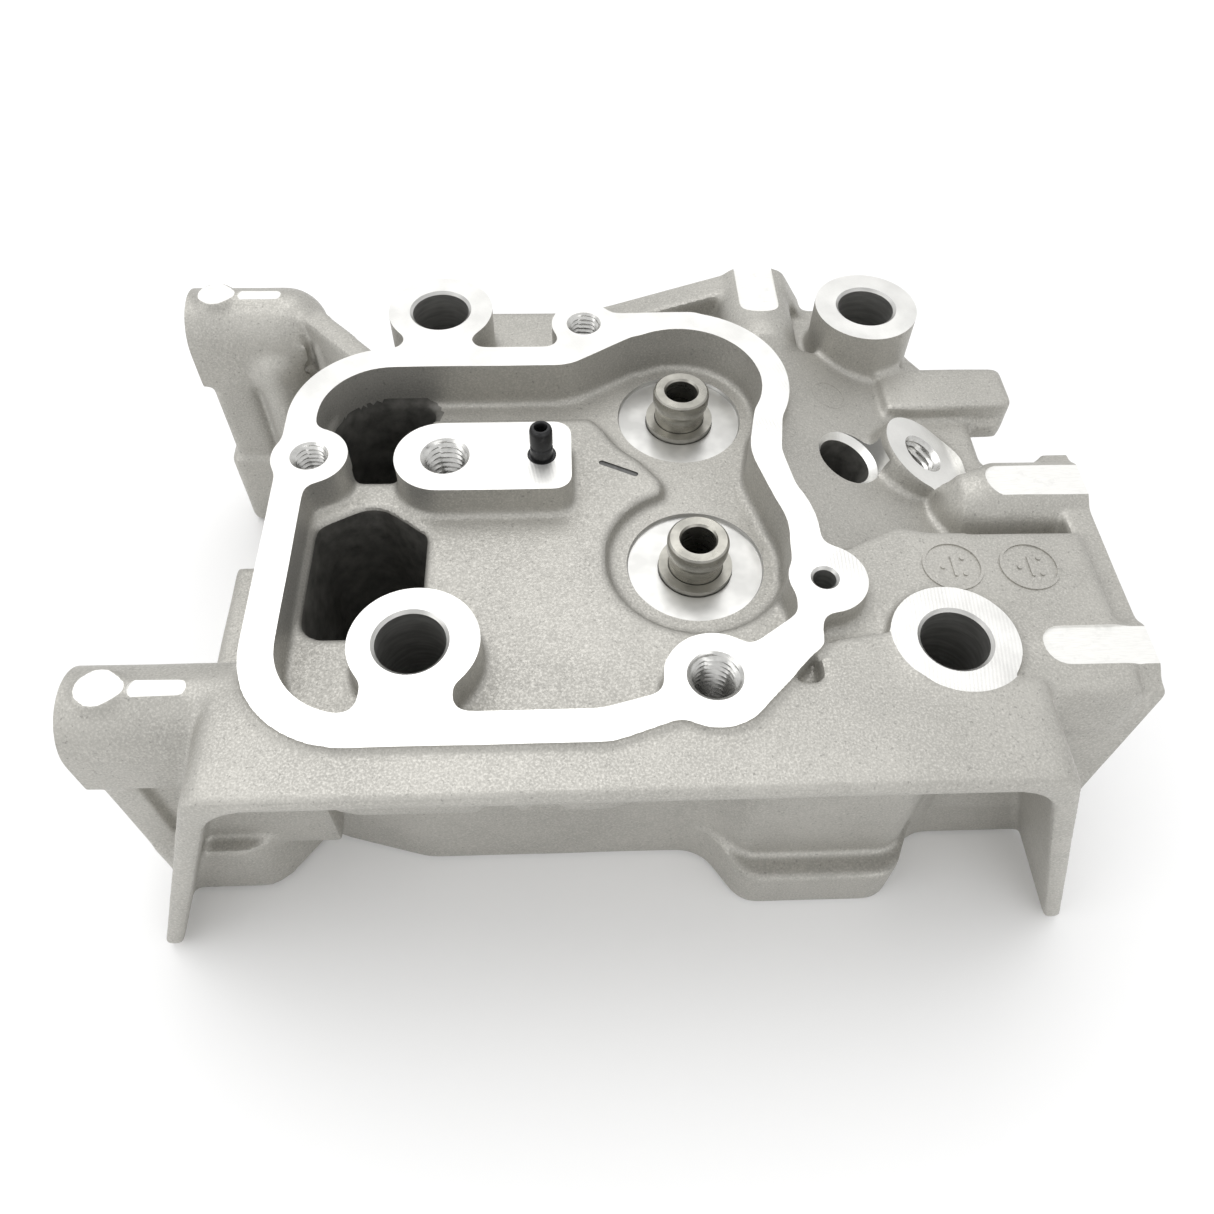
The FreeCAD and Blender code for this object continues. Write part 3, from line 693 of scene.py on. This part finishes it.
def shape_left_arm(stock, over):
    """Frees the arm to the far left boss, and adds the boss's dome, web and column."""
    gap = slab((-75.0, 38.2, 21.0), (-60.0, 56.0, 60.0))
    trim = slab((-97.0, -36.0, -4.0), (-88.6, 12.0, 19.0))
    combined(stock, [(*gap, CAST), (*trim, CAST)], "DIFFERENCE")
    behind = [(-67.7, 45.1), (-53.5, 29.2), (-50.5, 29.2), (-50.5, 47.0), (-60.0, 47.0)]
    combined(stock, [(*prism(behind, 33.5, 62.5), CAST)], "DIFFERENCE")
    pole, middle = math.pi / 2 - 0.05, (-75.2, LEFT_BOSS_Y, LEFT_BOSS_Z)
    dome = [(BOSS_R * math.cos(a), BOSS_R * math.sin(a))
            for a in np.linspace(-pole, pole, 25)]
    combined(stock, [(*turned(dome, middle, (1, 0, 0)), CAST)], "UNION")
    web = [(-67.7, 45.1), (-54.0, 29.8), (-57.5, 27.0), (-71.0, 41.5)]
    combined(stock, [(*prism(web, 19.0, 56.0), CAST)], "UNION")
    root = 17.0
    combined(stock, [
        upright(-77.0, 41.8, 10.0, 34.0, 12.4),
        upright(-HALF_X, HALF_Y, root, COVER_FACE - root + over, 20.4)], "UNION")


def wave_skin(mesh, amount):
    """Moves the skin in and out by slow waves."""
    place = read_rows(mesh.vertices, "co")
    lean = read_rows(mesh.vertex_normals, "vector")
    x, y, z = place.T
    height = (np.sin(x * 0.31 + 1.7 * np.sin(y * 0.23))
              + np.sin(y * 0.37 + 1.3 * np.sin(z * 0.29))
              + np.sin(z * 0.33 + 1.9 * np.sin(x * 0.19)))
    place += lean * (height * amount / 3)[:, None]
    mesh.vertices.foreach_set("co", place.ravel())
    mesh.update()


def rough_casting(settings):
    """The casting as it leaves the die: round edges, stock on what is machined."""
    stock = allowed_stock(settings.allowance)
    over = settings.allowance - 0.4
    plug_holes(stock, over)
    shape_left_arm(stock, over)

    remesh = stock.modifiers.new("skin", "REMESH")
    remesh.mode = "VOXEL"
    remesh.voxel_size = settings.grain * 1.0
    soften = stock.modifiers.new("fillets", "SMOOTH")
    soften.factor = 0.5
    soften.iterations = max(1, settings.rounding // (1))
    settle(stock)
    wave_skin(stock.data, settings.waviness)

    faces = 2 * len(stock.data.polygons)
    thin = stock.modifiers.new("thin", "DECIMATE")
    thin.ratio = min(1.0, settings.triangles / faces)
    return settle(stock)


def facing_cuts():
    """The milled faces, in passes that don't overlap."""
    far, foot = 6.0, 0.5
    first = [
        (*slab((-80, -70, COVER_FACE), (66, 60, COVER_FACE + far)), MILLED),
        (*slab((-80, -62, -far), (70, 58, 0)), MILLED),
        (*slab((RIGHT_FACE, -60, foot), (RIGHT_FACE + far, 20, 58)), MILLED),
        (*slab((-40, BACK_FACE, foot), (45, BACK_FACE + far, 58.5)), MILLED),
        (*slab((LEFT_FACE - far, -60, 38), (LEFT_FACE, 60, 64)), MILLED),
    ]
    x, y, top = BOLTS[3]
    bore_d = 77.0
    second = [
        (*drum((x, y, top), UP, far, 21.4), MILLED),
        (*slab((-50, -9.2, PAD_TOP), (-16.4, 9.2, PAD_TOP + far)), MILLED),
        (*drum(EAR_MOUTH, EAR_AXIS, far, 18.6), MILLED),
        (*drum((0, 0, -1), UP, 2.0, bore_d, 96), MILLED),
    ]
    return [first, second]


def ground_cuts():
    """Flats ground on the horizontal bosses."""
    cuts = []
    clear, past = 3, 4
    top = LEFT_BOSS_Z + BOSS_R
    for y in (LEFT_BOSS_Y, -LEFT_BOSS_Y):
        cuts.append((*drum((-88.0, y, top + 0.6), UP, 4.0, 8.4, 40), GROUND))
        cuts.append((*prism(capsule((-82.0, y), (-76.8, y), 3.4), top + 0.2,
                            top + clear), GROUND))
    top = RIGHT_BOSS_Z + BOSS_R
    for y in RIGHT_BOSSES_Y:
        cuts.append((*prism(capsule((60.6, y), (RIGHT_FACE + past, y), 7.4), top - 0.85,
                            top + clear), GROUND))
    top = 55.9
    ends = (BACK_BOSS_X, 44.5), (BACK_BOSS_X, BACK_FACE + past)
    cuts.append((*prism(capsule(*ends, 8.0), top - 0.25, top + 2.9), GROUND))
    return cuts


def bolt_tool(x, y, top, radius):
    """A head bolt hole, with a chamfer at both ends."""
    foot, lip, clear = 0.7, 0.55, 3
    return turned([
        (radius + foot, -clear), (radius + foot, -0.01), (radius, 0.6),
        (radius, top - 0.5), (radius + lip, top), (radius + lip, top + clear)], (x, y, 0))


def valve_tool(x, y, seat_d, throat_d):
    """The spring seat, the guide's pocket and bore, the throat and the seat pocket."""
    spring_r, collar_r, guide_r = 11.7, 6.5, 5.5
    throat_r, seat_r = throat_d / 2, seat_d / 2
    mouth_r = seat_d / 2 + 0.8
    return turned([
        (11.9, 51.4), (11.9, 49.2), (spring_r, 48.9), (spring_r, SPRING_SEAT),
        (collar_r, SPRING_SEAT), (collar_r, 47.35), (guide_r, 47.35), (guide_r, 30.0),
        (throat_r, 30.0), (throat_r, 15.0), (seat_r, 15.0), (seat_r, 9.0),
        (mouth_r, 8.2), (mouth_r, 7.0)], (x, y, 0), cols=96)


def hole_cuts(holes):
    """Every drilled, bored and tapped hole, in passes that don't overlap."""
    first = [(*bolt_tool(x, y, top, holes.bolt_d / 2), BORED) for x, y, top in BOLTS]
    for mouth, way, depth, thread, _ in TAPPED:
        first.append((*thread_tool(mouth, way, depth, thread, THREAD_LEAD,
                                   holes.thread_cols, holes.thread_rows), THREADED))
    vent_lead, vent_r = 2.35, 1.9
    first.append((*turned([
        (vent_lead, 2.0), (vent_lead, 0.0), (vent_r, -0.45), (vent_r, -14.0),
        (0.1, -15.0)], (*VENT_AT, COVER_FACE)), BORED))
    first.append((*drum((*PIN_AT, 49.4), UP, 14.0, 5.1, 40), BORED))
    first += [(*valve_tool(*valve), BORED) for valve in VALVES]
    plug = drum(PLUG_MOUTH - PLUG_AXIS * 27.0, PLUG_AXIS, 26.5, 10.65)
    lead = turned([(5.3, -1.2), (6.5, 0.0), (6.5, 4.0)], PLUG_MOUTH, PLUG_AXIS)
    # The slot mark's faces are painted very dark.
    slot_mark = (*prism(capsule((-11.7, 4.1), (-5.7, 1.1), 1.1), 51.7, 53.0), DARK_MARK)
    # The plug bore wears the painted shade finish: its deep inside is painted dark.
    return [first, [(*plug, DEEP_SHADE), slot_mark], [(*lead, MILLED)]]


def rounded(corners):
    """A flat outline whose corners (x, y, radius) are rounded."""
    count, steps = len(corners), 8
    outline = []
    for i, (x, y, radius) in enumerate(corners):
        point = Vector((x, y))
        before = (Vector(corners[i - 1][:2]) - point).normalized()
        after = (Vector(corners[(i + 1) % count][:2]) - point).normalized()
        half = before.angle(after) / 2
        centre = point + (before + after).normalized() * (radius / math.sin(half))
        start = point + before * (radius / math.tan(half)) - centre
        end = point + after * (radius / math.tan(half)) - centre
        for k in range(steps + 1):
            spoke = start.lerp(end, k / steps).normalized() * radius
            outline.append(tuple(centre + spoke))
    return outline


def window_cuts():
    """The two pushrod windows, cut clean through the floor of the rocker box."""
    back_window = rounded((
        (-61.3, 0.3, 1.6), (-43.5, 0.3, 1.6), (-43.5, 21.6, 1.6), (-61.3, 21.6, 10.2)))
    front_window = rounded((
        (-61.6, -33.7, 3.5), (-42.5, -33.7, 3.5), (-42.5, -12.3, 2.6),
        (-52.0, -4.8, 5.5), (-61.6, -10.3, 2.8)))
    low, high = 17.0, 55.0
    # The window walls wear the painted shade finish, dark because they lie deep.
    return [(*prism(corners, low, high), DEEP_SHADE)
            for corners in (back_window, front_window)]


def raised_marks():
    """Plain cast rings, dots and bars on the decks, with no lettering."""
    marks = []
    root, proud, stroke = -0.8, 0.3, 0.45

    def ring(centre, axis, outer):
        u, v, w = framed(axis)
        lift = Matrix((
            (u[0], v[0], w[0], centre[0]), (u[1], v[1], w[1], centre[1]),
            (u[2], v[2], w[2], centre[2]), (0, 0, 0, 1)))
        steps = 48
        points, faces = [], []
        for z in (root, proud):
            for radius in (outer, outer - stroke):
                for i in range(steps):
                    angle = 2 * math.pi * i / steps
                    points.append(lift @ Vector((radius * math.cos(angle),
                                                 radius * math.sin(angle), z)))
        for i in range(steps):
            n = (i + 1) % steps
            a, b, c, d = 0, steps, 2 * steps, 3 * steps
            faces += [[a + i, a + n, b + n, b + i], [c + i, d + i, d + n, c + n],
                      [a + i, c + i, c + n, a + n], [b + i, b + n, d + n, d + i]]
        points = np.array([tuple(p) for p in points])
        marks.append((points, outward(points, faces), CAST))
        return lift

    for centre, axis, outer, dots in (
            ((46.2, -23.7, 54.75), UP, 5.1, True), ((59.2, -24.0, 54.75), UP, 5.0, True),
            ((33.4, 22.0, 51.3), tuple(DECK_AXIS), 3.7, False)):
        lift = ring(centre, axis, outer)
        marks.append((*prism(capsule((-1.9, 0.2), (1.9, 0.2), 0.6), root, proud, lift),
                      CAST))
        for x, y in ((-1.6, 1.9), (0.2, -1.7), (1.7, 1.8)) if dots else ():
            marks.append((*prism(capsule((x, y), (x + 0.01, y), 0.8), root, proud, lift),
                          CAST))
    return marks


def machine(stock, holes):
    """Faces, grinds and drills the rough casting, in that order."""
    for cuts in (*facing_cuts(), ground_cuts(), *hole_cuts(holes)):
        combined(stock, cuts, "DIFFERENCE")


def darken_tunnels(mesh):
    """Gives the cast walls below the two pushrod windows the painted shade finish, for the
    shade deep in the casting.
    """
    low = np.array((-63.0, -34.2, 13.0))
    high = np.array((-42.2, 23.2, 51.0))
    middles = read_rows(mesh.polygons, "center")
    finishes = np.empty(len(middles), dtype=np.int32)
    mesh.polygons.foreach_get("material_index", finishes)
    inside = ((middles > low) & (middles < high)).all(axis=1)
    # Painted shade: cast faces inside the box take the dark deep-wall finish.
    finishes[inside & (finishes == CAST)] = DEEP_SHADE
    mesh.polygons.foreach_set("material_index", finishes)
    mesh.update()


class HEAD_OT_casting(bpy.types.Operator):
    """Build the aluminium casting with its machined faces and threads."""

    bl_idname = "head.casting"
    bl_label = "Casting"

    def execute(self, context):
        settings = context.scene.head_casting
        holes = context.scene.head_holes
        stock = rough_casting(settings)
        stock.data.materials.clear()
        for material in (cast_skin(settings.skin), milled_face(settings.bright),
                         bored_wall(settings.bright), threaded_wall(settings.bright),
                         ground_flat(settings.bright), dark_mark(settings.bright),
                         painted_shade_wall(settings.skin)):
            stock.data.materials.append(material)
        combined(stock, window_cuts(), "DIFFERENCE")
        root, over = 16.5, 1.0
        boss = drum((-42.0, -HALF_Y, root), UP, COVER_FACE + over - root, 20.2, 96)
        combined(stock, [(*boss, CAST)] + raised_marks(), "UNION")
        machine(stock, holes)
        darken_tunnels(stock.data)
        crisp(stock.data)
        finished(stock, replaces=[CASTING])
        return {"FINISHED"}


# ---------------- inserts
def centre_of(low, high):
    """The middle of a box, seen from above."""
    return (low.x + high.x) / 2, (low.y + high.y) / 2


def lathe(name, centre, profile, cols):
    """A ring turned round a vertical axis from a closed outline of (radius, z)."""
    x, y = centre
    angles = np.linspace(0, 2 * math.pi, cols, endpoint=False)
    points = np.array([(x + r * math.cos(a), y + r * math.sin(a), z)
                       for r, z in profile for a in angles])
    rows = len(profile)
    faces = []
    for k in range(rows):
        m = (k + 1) % rows
        for j in range(cols):
            n = (j + 1) % cols
            faces.append([k * cols + j, k * cols + n, m * cols + n, m * cols + j])
    return placed(name, mesh_of(name, [(points, outward(points, faces), 0)]))


class HEAD_OT_guides(bpy.types.Operator):
    """Build the two pressed-in valve guides."""

    bl_idname = "head.guides"
    bl_label = "Valve guides"

    def execute(self, context):
        settings = context.scene.head_inserts
        steel = turned_steel("guide_steel_turned", settings.guide)
        for name in ("intake_valve_guide", "exhaust_valve_guide"):
            low, high = node_box(name)
            top, bottom = high.z, low.z
            bore, body, neck, step = 3.0, 5.5, 4.7, 47.4
            guide = lathe(name + "_piece", centre_of(low, high), (
                (bore, bottom + 0.3), (3.3, bottom), (3.9, bottom), (body, bottom + 5),
                (body, step), (neck, step), (neck, top - 4.1), (4.8, top - 3.5),
                (5.1, top - 3.0), (5.25, top - 2.5), (5.3, top - 0.7), (5.15, top - 0.25),
                (4.85, top), (3.3, top), (bore, top - 0.4)), settings.turns)
            guide.data.materials.append(steel)
            crisp(guide.data, 24.0)
            finished(guide, replaces=[name])
        return {"FINISHED"}


def collar_tree(material):
    """Geometry nodes that sweep a six-cornered section round a circle."""
    sweep_r = 5.0
    tree = bpy.data.node_groups.new("collar", "GeometryNodeTree")
    face = tree.interface
    face.new_socket("Geometry", in_out="OUTPUT", socket_type="NodeSocketGeometry")
    for name, value in (("Inner", 4.8), ("Foot", 6.4), ("Waist", 5.5), ("Lip", 5.1),
                        ("Set", 1.2), ("Skirt", 0.3), ("Height", 3.4)):
        socket = face.new_socket(name, in_out="INPUT", socket_type="NodeSocketFloat")
        socket.default_value = value
    nodes, links = tree.nodes, tree.links
    given = nodes.new("NodeGroupInput")
    result = nodes.new("NodeGroupOutput")
    path = nodes.new("GeometryNodeCurvePrimitiveCircle")
    path.inputs["Resolution"].default_value = 96
    path.inputs["Radius"].default_value = sweep_r

    def minus(a, b):
        node = nodes.new("ShaderNodeMath")
        node.operation = "SUBTRACT"
        for value, socket in zip((a, b), node.inputs):
            if isinstance(value, float):
                socket.default_value = value
            else:
                links.new(value, socket)
        return node.outputs[0]

    section = nodes.new("GeometryNodeMeshLine")
    spin = nodes.new("GeometryNodeMeshToCurve")
    links.new(section.outputs["Mesh"], spin.inputs["Mesh"])
    closed = nodes.new("GeometryNodeSetSplineCyclic")
    closed.inputs["Cyclic"].default_value = True
    links.new(spin.outputs["Curve"], closed.inputs["Geometry"])
    index = nodes.new("GeometryNodeInputIndex")
    low = minus(0.0, given.outputs["Set"])
    corners = ((given.outputs["Inner"], low), (given.outputs["Foot"], low),
               (given.outputs["Foot"], given.outputs["Skirt"]),
               (given.outputs["Waist"], minus(given.outputs["Height"], 2.0)),
               (given.outputs["Lip"], minus(given.outputs["Height"], 1.0)),
               (given.outputs["Inner"], given.outputs["Height"]))
    section.inputs["Count"].default_value = len(corners)
    pick = nodes.new("GeometryNodeIndexSwitch")
    pick.data_type = "VECTOR"
    while len(pick.index_switch_items) < len(corners):
        pick.index_switch_items.new()
    links.new(index.outputs[0], pick.inputs["Index"])
    for k, (radius, height) in enumerate(corners):
        corner = nodes.new("ShaderNodeCombineXYZ")
        links.new(minus(radius, sweep_r), corner.inputs["X"])
        links.new(height, corner.inputs["Y"])
        links.new(corner.outputs[0], pick.inputs[k + 1])
    shaped = nodes.new("GeometryNodeSetPosition")
    links.new(closed.outputs["Geometry"], shaped.inputs["Geometry"])
    links.new(pick.outputs[0], shaped.inputs["Position"])
    sweep = nodes.new("GeometryNodeCurveToMesh")
    links.new(path.outputs["Curve"], sweep.inputs["Curve"])
    links.new(shaped.outputs["Geometry"], sweep.inputs["Profile Curve"])
    dress = nodes.new("GeometryNodeSetMaterial")
    dress.inputs["Material"].default_value = material
    links.new(sweep.outputs["Mesh"], dress.inputs["Geometry"])
    links.new(dress.outputs["Geometry"], result.inputs[0])
    return tree


def tree_object(name, tree, values):
    """The mesh that a geometry node tree makes with the values given by name."""
    obj = placed(name, bpy.data.meshes.new(name))
    maker = obj.modifiers.new("maker", "NODES")
    maker.node_group = tree
    for item in tree.interface.items_tree:
        if item.item_type == "SOCKET" and item.in_out == "INPUT" and item.name in values:
            maker[item.identifier] = values[item.name]
    return settle(obj)


class HEAD_OT_collars(bpy.types.Operator):
    """Build the conical steel collars at the foot of the valve guides."""

    bl_idname = "head.collars"
    bl_label = "Guide collars"

    def execute(self, context):
        settings = context.scene.head_inserts
        tree = collar_tree(turned_steel("collar_steel", settings.spring, 0.34, 0.2))
        for name in ("intake_guide_collar", "exhaust_guide_collar"):
            low, high = node_box(name)
            height = high.z - SPRING_SEAT
            collar = tree_object(name + "_piece", tree, {
                "Foot": (high.x - low.x) / 2, "Set": SPRING_SEAT - low.z,
                "Height": height})
            points = read_rows(collar.data.vertices, "co")
            reach = np.hypot(points[:, 0], points[:, 1])
            least_bore, slack = 4.0, 0.1
            if reach.min() < least_bore or points[:, 2].max() > height + slack:
                raise RuntimeError("the collar came out turned the wrong way")
            bm = bmesh.new()
            bm.from_mesh(collar.data)
            bmesh.ops.recalc_face_normals(bm, faces=bm.faces)
            bm.to_mesh(collar.data)
            bm.free()
            place = (*centre_of(low, high), SPRING_SEAT)
            collar.data.transform(Matrix.Translation(place))
            crisp(collar.data, 40.0)
            finished(collar, replaces=[name])
        return {"FINISHED"}


class HEAD_OT_seats(bpy.types.Operator):
    """Build the two valve seat inserts in the chamber."""

    bl_idname = "head.seats"
    bl_label = "Valve seats"

    def execute(self, context):
        settings = context.scene.head_inserts
        steel = turned_steel("seat_steel_ground", settings.seat, 0.24, 0.12)
        for name, (x, y, seat_d, throat_d) in zip(
                ("intake_valve_seat", "exhaust_valve_seat"), VALVES):
            low, high = node_box(name)
            outer, inner, chamfer = seat_d / 2, throat_d / 2, 0.3
            seat = lathe(name + "_piece", (x, y), (
                (outer - chamfer, low.z), (outer, low.z + chamfer), (outer, high.z),
                (inner, high.z), (inner, low.z + 3.4), (inner + 0.35, low.z + 2.6),
                (inner + 1.35, low.z + 1.4), (inner + 2.0, low.z + 0.9),
                (inner + 2.5, low.z)), settings.turns)
            seat.data.materials.append(steel)
            crisp(seat.data, 24.0)
            finished(seat, replaces=[name])
        return {"FINISHED"}


class HEAD_OT_pin(bpy.types.Operator):
    """Build the hollow pin that locates the rocker plate."""

    bl_idname = "head.pin"
    bl_label = "Locating pin"

    def execute(self, context):
        settings = context.scene.head_inserts
        name = "rocker_locating_pin"
        low, high = node_box(name)
        top = high.z
        bore, foot, body, groove = 1.0, 2.5, 2.0, 1.75
        pin = lathe(name + "_piece", centre_of(low, high), (
            (bore, low.z), (2.2, low.z), (foot, low.z + 0.3), (foot, PAD_TOP - 0.1),
            (2.4, PAD_TOP), (body, PAD_TOP + 0.02), (body, PAD_TOP + 1.9),
            (groove, PAD_TOP + 2.1), (groove, PAD_TOP + 2.7), (body, PAD_TOP + 2.9),
            (body, top - 0.9), (1.86, top - 0.35), (1.55, top), (1.2, top),
            (bore, top - 0.3)), settings.turns)
        pin.data.materials.append(blackened("black_oxide_pin", settings.pin))
        crisp(pin.data, 40.0)
        finished(pin, replaces=[name])
        return {"FINISHED"}


# ---------------- the studio
CAMERA_AT = (-0.01797, -0.12672, 0.18732)


def camera_turn():
    """The camera's rotation from its three small turns off a level, upright view."""
    rx, ry, rz = 2.51491364, -0.0359421519, -0.0196197886
    turn = (Matrix.Rotation(rz, 3, "Z") @ Matrix.Rotation(ry, 3, "Y")
            @ Matrix.Rotation(rx, 3, "X"))
    rows = [Vector(turn[0]), -Vector(turn[1]), -Vector(turn[2])]
    return Matrix(rows).transposed()


def area_light(name, place, aim, size, power):
    """A rectangular light that faces a point."""
    data = bpy.data.lights.new(name, "AREA")
    data.shape = "RECTANGLE"
    data.size, data.size_y = size
    data.energy = power
    light = placed(name, data)
    light.location = place
    light.rotation_euler = (Vector(aim) - Vector(place)).to_track_quat("-Z", "Y").to_euler()
    return light


class HEAD_OT_stage(bpy.types.Operator):
    """Build the floor, the lights and the camera."""

    bl_idname = "head.stage"
    bl_label = "Stage"

    def execute(self, context):
        settings = context.scene.head_studio
        wide, sunk = 3.0, 0.0008
        points = [(-wide, -wide), (wide, -wide), (wide, wide), (-wide, wide)]
        mesh = bpy.data.meshes.new("studio_floor")
        mesh.from_pydata([(x, y, -sunk) for x, y in points], [], [(0, 1, 2, 3)])
        floor = placed("studio_floor", mesh)
        paper = bpy.data.materials.new("studio_paper")
        paper.use_nodes = True
        shader = paper.node_tree.nodes["Principled BSDF"]
        shader.inputs["Base Color"].default_value = (*settings.floor, 1)
        shader.inputs["Roughness"].default_value = 0.9
        mesh.materials.append(paper)
        lights = [
            area_light("softbox_top", (-0.10, 0.25, 0.75), (0, 0, 0), (0.7, 0.6),
                       settings.key),
            area_light("softbox_left", (-0.65, -0.25, 0.40), (0, 0, 0.02), (0.5, 0.4),
                       settings.key * 0.35),
            area_light("softbox_front", (0.35, -0.65, 0.30), (0, 0, 0.02), (0.5, 0.3),
                       settings.key * 0.22),
        ]
        world = bpy.data.worlds.new("studio_world")
        world.use_nodes = True
        sky = world.node_tree.nodes["Background"]
        sky.inputs["Color"].default_value = (1, 1, 1, 1)
        sky.inputs["Strength"].default_value = settings.ambient
        context.scene.world = world
        data = bpy.data.cameras.new("camera")
        data.sensor_width = 36.0
        data.lens = settings.lens
        data.clip_start, data.clip_end = 0.01, 20.0
        camera = placed("camera", data)
        camera.matrix_world = Matrix.LocRotScale(Vector(CAMERA_AT), camera_turn(), None)
        context.scene.camera = camera
        context.scene.view_settings.view_transform = "Standard"
        return {"FINISHED"}


class HEAD_PT_panel(bpy.types.Panel):
    """Lists the head's sizes, colours and pieces."""

    bl_label = "Cylinder head"
    bl_idname = "HEAD_PT_panel"
    bl_space_type = "VIEW_3D"
    bl_region_type = "UI"
    bl_category = "Head"

    def draw(self, context):
        for owner in GROUPS:
            group = getattr(context.scene, owner)
            box = self.layout.box()
            box.label(text=owner.removeprefix("head_").title())
            for name in group.__annotations__:
                box.prop(group, name)
        for operator in OPERATORS:
            self.layout.operator(operator.bl_idname)


GROUPS = {"head_casting": CastingSettings, "head_holes": HoleSettings,
          "head_inserts": InsertSettings, "head_studio": StudioSettings}
OPERATORS = (HEAD_OT_casting, HEAD_OT_guides, HEAD_OT_collars, HEAD_OT_seats, HEAD_OT_pin,
             HEAD_OT_stage)


def register():
    for group in GROUPS.values():
        bpy.utils.register_class(group)
    for operator in OPERATORS:
        bpy.utils.register_class(operator)
    bpy.utils.register_class(HEAD_PT_panel)
    for name, group in GROUPS.items():
        setattr(bpy.types.Scene, name, bpy.props.PointerProperty(type=group))


def unregister():
    for name in GROUPS:
        delattr(bpy.types.Scene, name)
    for known in (HEAD_PT_panel, *reversed(OPERATORS), *reversed(GROUPS.values())):
        bpy.utils.unregister_class(known)


def main():
    register()
    bpy.ops.head.casting()
    bpy.ops.head.guides()
    bpy.ops.head.collars()
    bpy.ops.head.seats()
    bpy.ops.head.pin()
    bpy.ops.head.stage()


if __name__ == "__main__":
    main()
